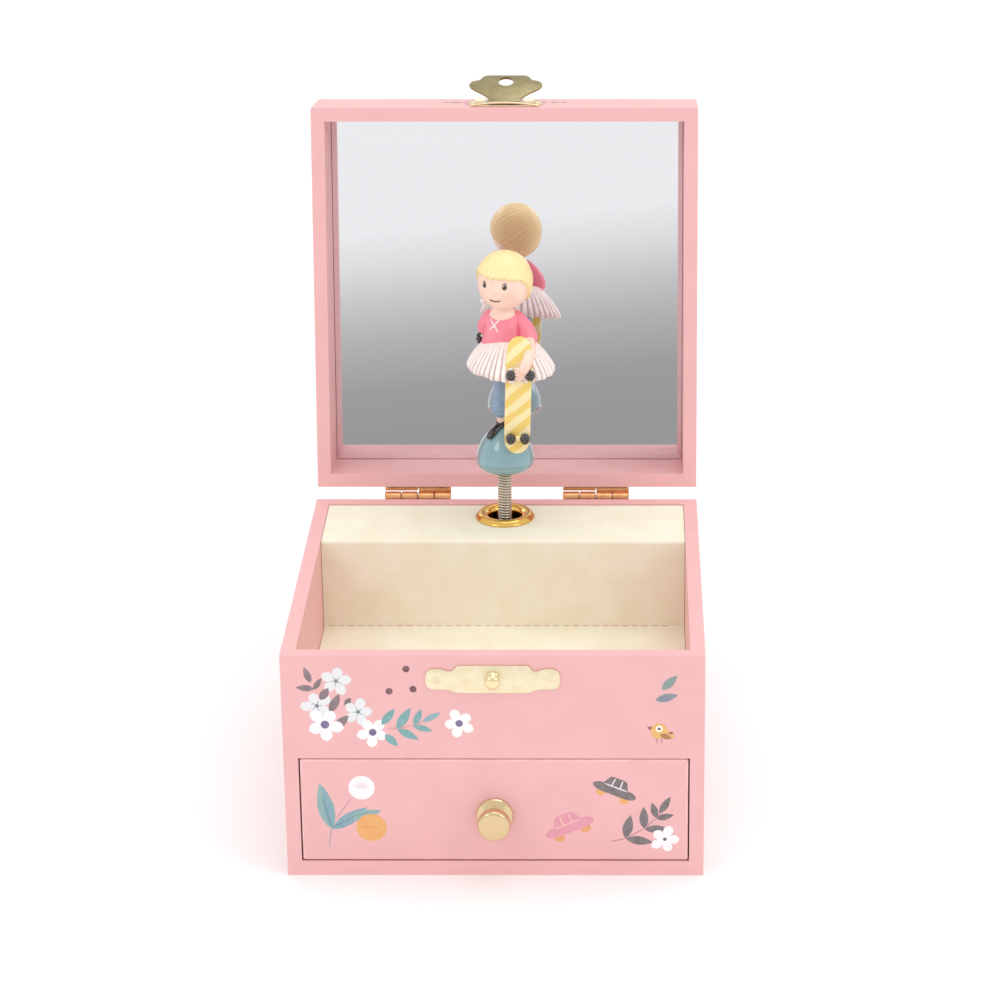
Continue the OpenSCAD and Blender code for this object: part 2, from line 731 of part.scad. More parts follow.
module skateboard() color("#f7e08a")
    translate([board_x, board_y + board_t, 0]) rotate([90, 0, 0]) {
        r = board_w / 2;
        linear_extrude(board_t) {
            translate([-r, board_z0 + r]) square([board_w, board_z1 - board_z0 - board_w]);
            for (z = [board_z0 + r, board_z1 - r]) translate([0, z]) circle(r);
        }
    }

module skateboard_wheels() color("#2b2523")
    for (z = [95.6, 115.2]) translate([board_x, 0, z]) {
        slab([-1.2, board_y - 1.4, -0.8], [1.2, board_y, 0.8]);
        translate([0, board_y - 1.3, 0]) {
            rod_x(-2.4, 2.4, 0.4);
            for (s = [-1, 1]) translate([s * 2.7, 0, 0]) rod_x(-0.7, 0.7, 1.2);
        }
    }

base_panel();
left_side_panel();
right_side_panel();
back_panel();
front_panel();
front_rail();
case_wrap();
divider_panel();
partition_panel();
ledge_panel();
liner_card();
grommet();
hinge_case_leaves();
hinge_pins();
hinge_case_nails();
catch_plate();
catch_stud();
catch_nails();
bedplate();
bearing_brackets();
movement_screws();
comb();
comb_screws();
brake_spring();
lid_top_panel();
lid_front_wall();
lid_back_wall();
lid_left_wall();
lid_right_wall();
lid_wrap();
mirror_glass();
hinge_lid_leaves();
hinge_lid_nails();
hasp_plate();
hasp_pin();
hasp_nails();
hasp_flap();
drawer_front();
drawer_left_side();
drawer_right_side();
drawer_back();
drawer_bottom();
drawer_knob();
knob_screw();
spring_barrel();
mainspring();
winding_arbor();
winding_key();
music_cylinder();
cylinder_arbor();
cylinder_pinion();
cylinder_wheel();
governor_fly();
spindle();
spindle_pinion();
figure_spring();
figure_dome();
figure_doll();
skateboard();
skateboard_wheels();
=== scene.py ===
import itertools
import json
import math
import random

import bmesh
import bpy
from mathutils import Euler, Matrix, Vector


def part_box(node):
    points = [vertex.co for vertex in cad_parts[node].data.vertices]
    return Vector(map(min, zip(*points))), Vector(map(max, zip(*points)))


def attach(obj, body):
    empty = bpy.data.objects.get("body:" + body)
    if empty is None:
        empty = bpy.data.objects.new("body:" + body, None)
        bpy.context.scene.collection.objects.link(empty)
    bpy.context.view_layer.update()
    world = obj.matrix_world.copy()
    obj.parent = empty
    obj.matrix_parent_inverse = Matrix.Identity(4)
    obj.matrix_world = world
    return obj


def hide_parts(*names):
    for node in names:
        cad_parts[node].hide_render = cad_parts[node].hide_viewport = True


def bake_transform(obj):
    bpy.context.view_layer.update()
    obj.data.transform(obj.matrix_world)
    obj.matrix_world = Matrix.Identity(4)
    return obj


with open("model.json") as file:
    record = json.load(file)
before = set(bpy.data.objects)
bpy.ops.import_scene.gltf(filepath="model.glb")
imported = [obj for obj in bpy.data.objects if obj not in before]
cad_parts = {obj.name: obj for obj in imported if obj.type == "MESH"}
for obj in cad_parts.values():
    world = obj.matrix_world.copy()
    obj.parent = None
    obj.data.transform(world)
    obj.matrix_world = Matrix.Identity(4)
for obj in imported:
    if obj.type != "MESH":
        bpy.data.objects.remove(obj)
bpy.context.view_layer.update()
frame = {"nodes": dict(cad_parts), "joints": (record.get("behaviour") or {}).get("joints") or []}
MM = 0.001
SCENE = bpy.context.scene


# ---- sizes taken from the frame, in millimetres ----

def box_mm(node):
    low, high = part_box(node)
    return low / MM, high / MM


def joint(name):
    return next(j for j in frame["joints"] if j["name"] == name)


def turn_about(point, axis, degrees):
    there = Matrix.Translation(point)
    return there @ Matrix.Rotation(math.radians(degrees), 4, axis) @ there.inverted()


HINGE = Vector(joint("lid_hinge")["pos_m"]) / MM
LID_OPEN = turn_about(HINGE, "X", -joint("lid_hinge")["range_deg"][1])
LID_SHUT = LID_OPEN.inverted()
PIN = LID_SHUT @ (Vector(joint("hasp_hinge")["pos_m"]) / MM)
FLAP_BACK = LID_OPEN @ turn_about(PIN, "X", -joint("hasp_hinge")["range_deg"][1])


def shut_box_mm(node):
    """Box of a lid node as it is with the lid shut."""
    points = [LID_SHUT @ (v.co / MM) for v in frame["nodes"][node].data.vertices]
    low = Vector([min(p[i] for p in points) for i in range(3)])
    high = Vector([max(p[i] for p in points) for i in range(3)])
    return low, high


case_high = box_mm("case_wrap")[1]
SIDE = case_high.x                      # outside of the case from the middle
RIM = case_high.z
INNER = box_mm("base_panel")[1].x       # inside faces of the walls
BASE_TOP = box_mm("base_panel")[1].z
PAPER = 0.28
OPENING_TOP = box_mm("front_panel")[0].z - 0.3
lid_low, lid_high = shut_box_mm("lid_wrap")
mirror_low, mirror_high = shut_box_mm("mirror_glass")
card_low, card_high = box_mm("liner_card")
LEDGE_FRONT = box_mm("ledge_panel")[0].y - 0.5
front_low, front_high = box_mm("drawer_front")
SPINDLE = Vector(joint("spindle_spin")["pos_m"]) / MM
BARREL = Vector(joint("barrel_spin")["pos_m"]) / MM
catch_low, catch_high = box_mm("catch_plate")
CATCH_Z = (catch_low.z + catch_high.z) / 2
KNOB_Z = box_mm("knob_screw")[0].z / 2 + box_mm("knob_screw")[1].z / 2
dome_low, dome_high = box_mm("figure_dome")
spring_low, spring_high = box_mm("figure_spring")


# ---- camera ----

lens = bpy.data.cameras.new("camera")
lens.sensor_width = 36
lens.lens = 116.56
lens.shift_x = -0.106
lens.shift_y = -0.0386
lens.clip_start = 0.05
lens.clip_end = 50
camera = bpy.data.objects.new("camera", lens)
SCENE.collection.objects.link(camera)
CAMERA_AT = Vector((35.2, -854.3, 426.4))
YAW, PITCH, ROLL = (math.radians(a) for a in (-0.32, 20.87, -0.10))
ahead = Vector((math.sin(YAW) * math.cos(PITCH), math.cos(YAW) * math.cos(PITCH), -math.sin(PITCH)))
level = Vector((math.cos(YAW), -math.sin(YAW), 0))
over = level.cross(ahead)
across = level * math.cos(ROLL) + over * math.sin(ROLL)
over = over * math.cos(ROLL) - level * math.sin(ROLL)
turn = Matrix((across, over, -ahead)).transposed()
camera.matrix_world = Matrix.Translation(CAMERA_AT * MM) @ turn.to_4x4()
SCENE.camera = camera
SCENE.view_settings.view_transform = "Standard"
SCENE.view_settings.look = "None"


# ---- mesh tools, all in millimetres ----

def joined(*parts):
    """One bmesh of several, which are freed."""
    whole = bmesh.new()
    for part in parts:
        mesh = bpy.data.meshes.new("part")
        part.to_mesh(mesh)
        part.free()
        whole.from_mesh(mesh)
        bpy.data.meshes.remove(mesh)
    return whole


def moved(bm, matrix):
    bm.transform(matrix)
    return bm


def shifted(bm, x=0, y=0, z=0):
    return moved(bm, Matrix.Translation((x, y, z)))


def turned(bm, axis, degrees):
    return moved(bm, Matrix.Rotation(math.radians(degrees), 4, axis))


def loft(rings, ends=True, closed=False):
    """Skin over rings of points, which all have the same count. A ring of one point is a pole."""
    bm = bmesh.new()
    rows = [[bm.verts.new(p) for p in ring] for ring in rings]
    pairs = list(zip(rows, rows[1:])) + ([(rows[-1], rows[0])] if closed else [])
    for a, b in pairs:
        n = max(len(a), len(b))
        for i in range(n):
            j = (i + 1) % n
            quad = [a[i % len(a)], a[j % len(a)], b[j % len(b)], b[i % len(b)]]
            corners = [v for k, v in enumerate(quad) if v not in quad[:k]]
            if len(corners) > 2:
                bm.faces.new(corners)
    if ends and not closed:
        for row in (rows[0], rows[-1]):
            if len(row) > 2:
                bm.faces.new(row)
    bmesh.ops.recalc_face_normals(bm, faces=bm.faces)
    return bm


def lathe(profile, n=64, axis="Z", closed=False):
    """Turned form from (radius, height) points. Closed joins the last to the first, for a ring."""
    rings = [[(r * math.cos(a), r * math.sin(a), h) for a in
              (math.tau * i / n for i in range(n))] if r > 1e-6 else [(0, 0, h)] for r, h in profile]
    bm = loft(rings, closed=closed)
    return turned(bm, "X", 90) if axis == "-Y" else turned(bm, "X", -90) if axis == "Y" else \
        turned(bm, "Y", 90) if axis == "X" else bm


def limb(path, radii, n=20, flat=(1, 1)):
    """Round-ended limb along a path, with a radius at each point. flat scales its two widths."""
    path = [Vector(p) for p in path]
    radii = radii if isinstance(radii, (list, tuple)) else [radii] * len(path)
    tangents = [(path[min(i + 1, len(path) - 1)] - path[max(i - 1, 0)]).normalized()
                for i in range(len(path))]
    side = tangents[0].orthogonal() if abs(tangents[0].x) > 0.9 else \
        (Vector((1, 0, 0)) - tangents[0] * tangents[0].x).normalized()
    rings = []

    def ring(centre, r, out, along):
        return [centre + (out * math.cos(a) * flat[0] + along.cross(out) * math.sin(a) * flat[1]) * r
                for a in (math.tau * i / n for i in range(n))]

    for i, (p, r, t) in enumerate(zip(path, radii, tangents)):
        side = (side - t * side.dot(t)).normalized()
        if i == 0:
            rings += [[p - t * r]] + [ring(p - t * r * math.cos(a), r * math.sin(a), side, t)
                                      for a in (0.45, 0.95)]
        rings.append(ring(p, r, side, t))
        if i == len(path) - 1:
            rings += [ring(p + t * r * math.cos(a), r * math.sin(a), side, t)
                      for a in (0.95, 0.45)] + [[p + t * r]]
    return loft(rings)


def curve_points(points, per=8):
    """Points of a smooth curve through the given ones."""
    pts = [Vector(p) for p in points]
    n = len(pts)
    out = []
    for i in range(n - 1):
        p0, p1, p2, p3 = pts[max(i - 1, 0)], pts[i], pts[i + 1], pts[min(i + 2, n - 1)]
        for k in range(per):
            t = k / per
            out.append(0.5 * (2 * p1 + (p2 - p0) * t + (2 * p0 - 5 * p1 + 4 * p2 - p3) * t * t
                              + (3 * p1 - p0 - 3 * p2 + p3) * t ** 3))
    return out + [pts[-1]]


def blob(centre, radii, n=32, turn=(0, 0, 0)):
    bm = bmesh.new()
    bmesh.ops.create_uvsphere(bm, u_segments=n, v_segments=n // 2, radius=1)
    rx, ry, rz = radii if isinstance(radii, (list, tuple)) else (radii,) * 3
    spin = Euler([math.radians(a) for a in turn]).to_matrix().to_4x4()
    return moved(bm, Matrix.Translation(centre) @ spin @ Matrix.Diagonal((rx, ry, rz, 1)))


def sheet_metal(outline, thickness):
    """Flat plate whose outline is (x, z) points, from y = 0 forwards to y = -thickness."""
    bm = bmesh.new()
    back = [bm.verts.new((x, 0, z)) for x, z in outline]
    front = [bm.verts.new((x, -thickness, z)) for x, z in outline]
    bm.faces.new(back)
    bm.faces.new(front[::-1])
    for i in range(len(back)):
        j = (i + 1) % len(back)
        bm.faces.new((back[i], front[i], front[j], back[j]))
    bmesh.ops.recalc_face_normals(bm, faces=bm.faces)
    return bm


def worked(bm, *steps):
    """The form after modifiers, each a type and its settings."""
    mesh = bpy.data.meshes.new("blank")
    bm.to_mesh(mesh)
    bm.free()
    blank = bpy.data.objects.new("blank", mesh)
    SCENE.collection.objects.link(blank)
    for kind, settings in steps:
        step = blank.modifiers.new(kind, kind)
        for key, value in settings.items():
            setattr(step, key, value)
    graph = bpy.context.evaluated_depsgraph_get()
    result = bpy.data.meshes.new_from_object(
        blank.evaluated_get(graph), preserve_all_data_layers=True, depsgraph=graph)
    out = bmesh.new()
    out.from_mesh(result)
    bpy.data.objects.remove(blank)
    bpy.data.meshes.remove(mesh)
    bpy.data.meshes.remove(result)
    return out


def cut(bm, *cutters):
    """The form with the cutters' room taken out."""
    for cutter in cutters:
        mesh = bpy.data.meshes.new("cutter")
        cutter.to_mesh(mesh)
        cutter.free()
        tool = bpy.data.objects.new("cutter", mesh)
        SCENE.collection.objects.link(tool)
        bm = worked(bm, ("BOOLEAN", dict(object=tool, operation="DIFFERENCE", solver="EXACT")))
        bpy.data.objects.remove(tool)
        bpy.data.meshes.remove(mesh)
    return bm


def rod(axis, start, length, radius, x=0.0, y=0.0, z=0.0, n=48):
    """A plain cutter or core along an axis."""
    bm = lathe([(0, start), (radius, start), (radius, start + length), (0, start + length)], n, axis)
    return shifted(bm, x, y, z)


def rounded(bm, width, segments=3):
    """Rounds the sharp edges, and notes in the attribute worn where the rounding is."""
    worn = bm.verts.layers.float.get("worn") or bm.verts.layers.float.new("worn")
    sharp = [e for e in bm.edges if len(e.link_faces) == 2 and e.calc_face_angle(0) > 0.5]
    made = bmesh.ops.bevel(bm, geom=sharp, offset=width, segments=segments, profile=0.5,
                           affect="EDGES", clamp_overlap=True)
    new = set(made["faces"])
    for v in bm.verts:
        v[worn] = float(all(f in new for f in v.link_faces))
    return bm


def block(low, high):
    bm = bmesh.new()
    bmesh.ops.create_cube(bm, size=1)
    low, high = Vector(low), Vector(high)
    size = high - low
    return moved(bm, Matrix.Translation((low + high) / 2) @ Matrix.Diagonal((*size, 1)))


def cells(xs, ys, zs, solid, bottom=True):
    """Welded skin of the solid cells of a grid. bottom=False leaves the underside open."""
    bm = bmesh.new()
    grid = (xs, ys, zs)
    corner = {}

    def at(index):
        if index not in corner:
            corner[index] = bm.verts.new([grid[a][index[a]] for a in range(3)])
        return corner[index]

    def full(index):
        return all(0 <= index[a] < len(grid[a]) - 1 for a in range(3)) and solid(*index)

    for index in itertools.product(*(range(len(g) - 1) for g in grid)):
        if not full(index):
            continue
        for axis, side in itertools.product(range(3), (0, 1)):
            beside = list(index)
            beside[axis] += 2 * side - 1
            if full(tuple(beside)) or (axis == 2 and side == 0 and index[2] == 0 and not bottom):
                continue
            u, v = (axis + 1) % 3, (axis + 2) % 3
            quad = []
            for du, dv in ((0, 0), (1, 0), (1, 1), (0, 1)):
                point = list(index)
                point[axis] += side
                point[u] += du
                point[v] += dv
                quad.append(at(tuple(point)))
            bm.faces.new(quad if side else quad[::-1])
    return bm


def make(name, bm, body, material, replaces=(), place=None, crease=35, recalc=True):
    """Finished piece: its place is in its mesh, and it rides on its body."""
    bmesh.ops.remove_doubles(bm, verts=bm.verts, dist=1e-4)
    if recalc:
        bmesh.ops.recalc_face_normals(bm, faces=bm.faces)
    bm.transform(place or Matrix.Identity(4))
    bm.transform(Matrix.Scale(MM, 4))
    mesh = bpy.data.meshes.new(name)
    bm.to_mesh(mesh)
    bm.free()
    mesh.materials.append(material)
    for polygon in mesh.polygons:
        polygon.use_smooth = True
        polygon.material_index = 0
    mesh.set_sharp_from_angle(angle=math.radians(crease))
    obj = bpy.data.objects.new(name, mesh)
    SCENE.collection.objects.link(obj)
    if replaces:
        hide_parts(*replaces)
    if body:
        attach(obj, body)
    return obj


# ---- geometry trees for what repeats or follows a path ----

def add(tree, kind, ins=None, **settings):
    """Adds one node with its settings. ins gives a socket its value or the socket that feeds it."""
    made = tree.nodes.new(kind)
    for key, value in settings.items():
        setattr(made, key, value)
    for key, value in (ins or {}).items():
        if isinstance(value, bpy.types.NodeSocket):
            tree.links.new(value, made.inputs[key])
        else:
            made.inputs[key].default_value = value
    return made


def new_tree(name, inputs):
    tree = bpy.data.node_groups.new(name, "GeometryNodeTree")
    tree.interface.new_socket("Geometry", in_out="INPUT", socket_type="NodeSocketGeometry")
    for label, kind in inputs:
        tree.interface.new_socket(label, in_out="INPUT", socket_type="NodeSocket" + kind)
    tree.interface.new_socket("Geometry", in_out="OUTPUT", socket_type="NodeSocketGeometry")
    return tree, add(tree, "NodeGroupInput").outputs


def end_tree(tree, geometry, material):
    real = add(tree, "GeometryNodeRealizeInstances", {0: geometry}).outputs[0]
    painted = add(tree, "GeometryNodeSetMaterial", {"Geometry": real, "Material": material}).outputs[0]
    add(tree, "NodeGroupOutput", {0: painted})
    return tree


def set_out_tree():
    """Sets out copies of a shape at points, each with its own turn, growth and ink."""
    tree, given = new_tree("set_out", [("Shape", "Object"), ("Size", "Float"), ("Size spread", "Float"),
                                       ("Seed", "Int"), ("Material", "Material")])
    shape = add(tree, "GeometryNodeObjectInfo", {"Object": given["Shape"]}).outputs["Geometry"]
    turn = add(tree, "GeometryNodeInputNamedAttribute", {"Name": "turn"}, data_type="FLOAT_VECTOR")
    grow = add(tree, "GeometryNodeInputNamedAttribute", {"Name": "grow"}, data_type="FLOAT_VECTOR")
    least = add(tree, "ShaderNodeMath", {0: 1.0, 1: given["Size spread"]}, operation="SUBTRACT").outputs[0]
    most = add(tree, "ShaderNodeMath", {0: 1.0, 1: given["Size spread"]}, operation="ADD").outputs[0]
    vary = add(tree, "FunctionNodeRandomValue", {2: least, 3: most, "Seed": given["Seed"]},
               data_type="FLOAT").outputs[1]
    size = add(tree, "ShaderNodeMath", {0: vary, 1: given["Size"]}, operation="MULTIPLY").outputs[0]
    scale = add(tree, "ShaderNodeVectorMath", {0: grow.outputs[0], "Scale": size},
                operation="SCALE").outputs[0]
    spin = add(tree, "FunctionNodeEulerToRotation", {0: turn.outputs[0]}).outputs[0]
    placed = add(tree, "GeometryNodeInstanceOnPoints", {
        "Points": given["Geometry"], "Instance": shape, "Rotation": spin, "Scale": scale}).outputs[0]
    return end_tree(tree, placed, given["Material"])


def coil_tree():
    """Winds a wire into a close coil."""
    tree, given = new_tree("coil", [("Mean radius", "Float"), ("Wire radius", "Float"), ("Pitch", "Float"),
                                    ("Turns", "Float"), ("Steps a turn", "Int"), ("Material", "Material")])
    height = add(tree, "ShaderNodeMath", {0: given["Pitch"], 1: given["Turns"]},
                 operation="MULTIPLY").outputs[0]
    line = add(tree, "GeometryNodeCurveSpiral", {
        "Resolution": given["Steps a turn"], "Rotations": given["Turns"],
        "Start Radius": given["Mean radius"], "End Radius": given["Mean radius"],
        "Height": height}).outputs[0]
    wire = add(tree, "GeometryNodeCurvePrimitiveCircle", {
        "Resolution": 8, "Radius": given["Wire radius"]}).outputs[0]
    wound = add(tree, "GeometryNodeCurveToMesh", {
        "Curve": line, "Profile Curve": wire, "Fill Caps": True}).outputs[0]
    return end_tree(tree, wound, given["Material"])


SET_OUT = set_out_tree()
COIL = coil_tree()


def grown(tree, start, **inputs):
    """Runs a tree on a start mesh and gives its result as a bmesh."""
    holder = bpy.data.objects.new("holder", start)
    SCENE.collection.objects.link(holder)
    step = holder.modifiers.new("grow", "NODES")
    step.node_group = tree
    for item in tree.interface.items_tree:
        label = item.name.lower().replace(" ", "_")
        if item.item_type == "SOCKET" and item.in_out == "INPUT" and label in inputs:
            step[item.identifier] = inputs[label]
    graph = bpy.context.evaluated_depsgraph_get()
    result = bpy.data.meshes.new_from_object(
        holder.evaluated_get(graph), preserve_all_data_layers=True, depsgraph=graph)
    out = bmesh.new()
    out.from_mesh(result)
    bpy.data.objects.remove(holder)
    bpy.data.meshes.remove(start)
    bpy.data.meshes.remove(result)
    return out


def set_out(shape, places, material, size=1.0, size_spread=0.0, seed=1):
    """A copy of the shape at each place: point, turn in degrees, growth and ink, of which only
    the point must be given."""
    points = bpy.data.meshes.new("places")
    full = [tuple(p) + ((0, 0, 0), (1, 1, 1), (1, 1, 1, 1))[len(p) - 1:] for p in places]
    points.from_pydata([p[0] for p in full], [], [])
    for label, kind, key, values in (
            ("turn", "FLOAT_VECTOR", "vector", [math.radians(a) for p in full for a in p[1]]),
            ("grow", "FLOAT_VECTOR", "vector", [g for p in full for g in p[2]]),
            ("ink", "FLOAT_COLOR", "color", [c for p in full for c in p[3]])):
        points.attributes.new(label, kind, "POINT").data.foreach_set(key, values)
    mesh = bpy.data.meshes.new("shape")
    shape.to_mesh(mesh)
    shape.free()
    pattern = bpy.data.objects.new("shape", mesh)
    SCENE.collection.objects.link(pattern)
    out = grown(SET_OUT, points, shape=pattern, size=size, size_spread=size_spread, seed=seed,
                material=material)
    bpy.data.objects.remove(pattern)
    bpy.data.meshes.remove(mesh)
    return out


# ---- materials ----

def ink(code):
    """Linear colour of an sRGB hex code."""
    parts = [int(code[i:i + 2], 16) / 255 for i in (1, 3, 5)]
    return tuple(c / 12.92 if c <= 0.04045 else ((c + 0.055) / 1.055) ** 2.4 for c in parts) + (1.0,)


def new_material(name):
    material = bpy.data.materials.new(name)
    material.use_nodes = True
    tree = material.node_tree
    tree.nodes.clear()
    place = add(tree, "ShaderNodeTexCoord").outputs["Object"]
    return material, tree, place


def scale_for(size_mm):
    """Texture scale that makes its marks about size_mm across."""
    return 1 / (size_mm * MM)


def laminated_paper(name, colour, cloud, rubbed_colour):
    # Offset-printed wrapping paper under a matt film: even and softly satin, with a faint tooth,
    # and paler where it is rubbed on the folds.
    material, tree, place = new_material(name)
    clouds = add(tree, "ShaderNodeTexNoise", {
        "Vector": place, "Scale": scale_for(14), "Detail": 3.0}).outputs[0]
    share = add(tree, "ShaderNodeMapRange", {0: clouds, 1: 0.35, 2: 0.65}).outputs[0]
    printed = add(tree, "ShaderNodeMix", {
        0: share, 6: ink(colour), 7: ink(cloud)}, data_type="RGBA").outputs[2]
    worn = add(tree, "ShaderNodeAttribute", attribute_name="worn").outputs["Fac"]
    rubs = add(tree, "ShaderNodeTexNoise", {
        "Vector": place, "Scale": scale_for(3.5), "Detail": 3.0}).outputs[0]
    patchy = add(tree, "ShaderNodeMapRange", {0: rubs, 1: 0.3, 2: 0.7, 3: 0.15, 4: 0.75}).outputs[0]
    rubbed = add(tree, "ShaderNodeMath", {0: worn, 1: patchy}, operation="MULTIPLY").outputs[0]
    colours = add(tree, "ShaderNodeMix", {0: rubbed, 6: printed, 7: ink(rubbed_colour)}, data_type="RGBA")
    # the tooth is drawn at 0.9 mm, coarser than paper's 0.2 mm, so that it shows
    tooth = add(tree, "ShaderNodeTexNoise", {
        "Vector": place, "Scale": scale_for(0.9), "Detail": 5.0}).outputs[0]
    bump = add(tree, "ShaderNodeBump", {"Height": tooth, "Distance": 0.012 * MM, "Strength": 0.6}).outputs[0]
    film = add(tree, "ShaderNodeTexNoise", {"Vector": place, "Scale": scale_for(5), "Detail": 3.0}).outputs[0]
    satin = add(tree, "ShaderNodeMapRange", {0: film, 1: 0.3, 2: 0.7, 3: 0.42, 4: 0.52}).outputs[0]
    paper = add(tree, "ShaderNodeBsdfPrincipled", {
        "Base Color": colours.outputs[2], "Roughness": satin, "IOR": 1.5, "Specular IOR Level": 0.4,
        "Normal": bump})
    add(tree, "ShaderNodeOutputMaterial", {"Surface": paper.outputs[0]})
    return material


def printing_ink():
    # Ink under the same film: the paper's satin, with the slightly uneven wash of a painted motif.
    material, tree, place = new_material("printed_ink")
    laid = add(tree, "ShaderNodeAttribute", attribute_name="ink").outputs["Color"]
    wash = add(tree, "ShaderNodeTexNoise", {
        "Vector": place, "Scale": scale_for(1.6), "Detail": 4.0}).outputs[0]
    thin = add(tree, "ShaderNodeMapRange", {0: wash, 1: 0.3, 2: 0.7, 3: 0.0, 4: 0.13}).outputs[0]
    colours = add(tree, "ShaderNodeMix", {0: thin, 6: laid, 7: ink("#F3E3E6")}, data_type="RGBA").outputs[2]
    tooth = add(tree, "ShaderNodeTexNoise", {
        "Vector": place, "Scale": scale_for(0.9), "Detail": 5.0}).outputs[0]
    bump = add(tree, "ShaderNodeBump", {"Height": tooth, "Distance": 0.012 * MM, "Strength": 0.6}).outputs[0]
    print_film = add(tree, "ShaderNodeBsdfPrincipled", {
        "Base Color": colours, "Roughness": 0.46, "IOR": 1.5, "Normal": bump})
    add(tree, "ShaderNodeOutputMaterial", {"Surface": print_film.outputs[0]})
    return material


def uncoated_card(name, colour, cloud, fleck_colour):
    # Uncoated cream card with a fine linen tooth: matt and warm, with small fibre flecks.
    material, tree, place = new_material(name)
    clouds = add(tree, "ShaderNodeTexNoise", {
        "Vector": place, "Scale": scale_for(9), "Detail": 3.0}).outputs[0]
    share = add(tree, "ShaderNodeMapRange", {0: clouds, 1: 0.3, 2: 0.7}).outputs[0]
    base = add(tree, "ShaderNodeMix", {0: share, 6: ink(colour), 7: ink(cloud)}, data_type="RGBA").outputs[2]
    drawn_out = add(tree, "ShaderNodeMapping", {"Vector": place, "Scale": (1, 0.3, 1)}).outputs[0]
    fibres = add(tree, "ShaderNodeTexNoise", {
        "Vector": drawn_out, "Scale": scale_for(1.1), "Detail": 2.0}).outputs[0]
    fleck = add(tree, "ShaderNodeMapRange", {0: fibres, 1: 0.66, 2: 0.72, 3: 0.0, 4: 0.22}).outputs[0]
    colours = add(tree, "ShaderNodeMix", {
        0: fleck, 6: base, 7: ink(fleck_colour)}, data_type="RGBA").outputs[2]
    # the linen tooth is drawn at 0.7 mm, coarser than the card's own, so that it shows
    tooth = add(tree, "ShaderNodeTexNoise", {
        "Vector": place, "Scale": scale_for(0.7), "Detail": 5.0}).outputs[0]
    bump = add(tree, "ShaderNodeBump", {"Height": tooth, "Distance": 0.03 * MM, "Strength": 0.7}).outputs[0]
    card_face = add(tree, "ShaderNodeBsdfPrincipled", {
        "Base Color": colours, "Roughness": 0.82, "IOR": 1.45, "Specular IOR Level": 0.25, "Normal": bump})
    add(tree, "ShaderNodeOutputMaterial", {"Surface": card_face.outputs[0]})
    return material


def pressed_board():
    # Grey-brown pressed board, sawn at its edges: dull, with pale and dark fibres.
    material, tree, place = new_material("pressed_board")
    drawn_out = add(tree, "ShaderNodeMapping", {"Vector": place, "Scale": (0.25, 1, 1)}).outputs[0]
    fibres = add(tree, "ShaderNodeTexNoise", {
        "Vector": drawn_out, "Scale": scale_for(0.8), "Detail": 6.0}).outputs[0]
    share = add(tree, "ShaderNodeMapRange", {0: fibres, 1: 0.3, 2: 0.7}).outputs[0]
    colours = add(tree, "ShaderNodeMix", {0: share, 6: ink("#A98F6B"), 7: ink("#CDB994")}, data_type="RGBA")
    sawn = add(tree, "ShaderNodeTexNoise", {
        "Vector": place, "Scale": scale_for(0.5), "Detail": 4.0}).outputs[0]
    bump = add(tree, "ShaderNodeBump", {"Height": sawn, "Distance": 0.05 * MM}).outputs[0]
    board = add(tree, "ShaderNodeBsdfPrincipled", {
        "Base Color": colours.outputs[2], "Roughness": 0.88, "IOR": 1.4, "Specular IOR Level": 0.2,
        "Normal": bump})
    add(tree, "ShaderNodeOutputMaterial", {"Surface": board.outputs[0]})
    return material


def poplar_ply():
    # Thin poplar plywood, sanded: pale straw wood with long soft grain along the board.
    material, tree, place = new_material("poplar_ply")
    along = add(tree, "ShaderNodeMapping", {"Vector": place, "Scale": (1, 0.06, 1)}).outputs[0]
    streaks = add(tree, "ShaderNodeTexNoise", {
        "Vector": along, "Scale": scale_for(1.4), "Detail": 5.0}).outputs[0]
    share = add(tree, "ShaderNodeMapRange", {0: streaks, 1: 0.3, 2: 0.7}).outputs[0]
    wood = add(tree, "ShaderNodeMix", {0: share, 6: ink("#E3CDA2"), 7: ink("#C9A976")}, data_type="RGBA")
    pores = add(tree, "ShaderNodeTexNoise", {
        "Vector": along, "Scale": scale_for(0.5), "Detail": 3.0}).outputs[0]
    dark = add(tree, "ShaderNodeMapRange", {0: pores, 1: 0.55, 2: 0.75}).outputs[0]
    colours = add(tree, "ShaderNodeMix", {0: dark, 6: wood.outputs[2], 7: ink("#B08D5B")}, data_type="RGBA")
    bump = add(tree, "ShaderNodeBump", {"Height": streaks, "Distance": 0.04 * MM}).outputs[0]
    ply = add(tree, "ShaderNodeBsdfPrincipled", {
        "Base Color": colours.outputs[2], "Roughness": 0.62, "IOR": 1.45, "Specular IOR Level": 0.3,
        "Normal": bump})
    add(tree, "ShaderNodeOutputMaterial", {"Surface": ply.outputs[0]})
    return material


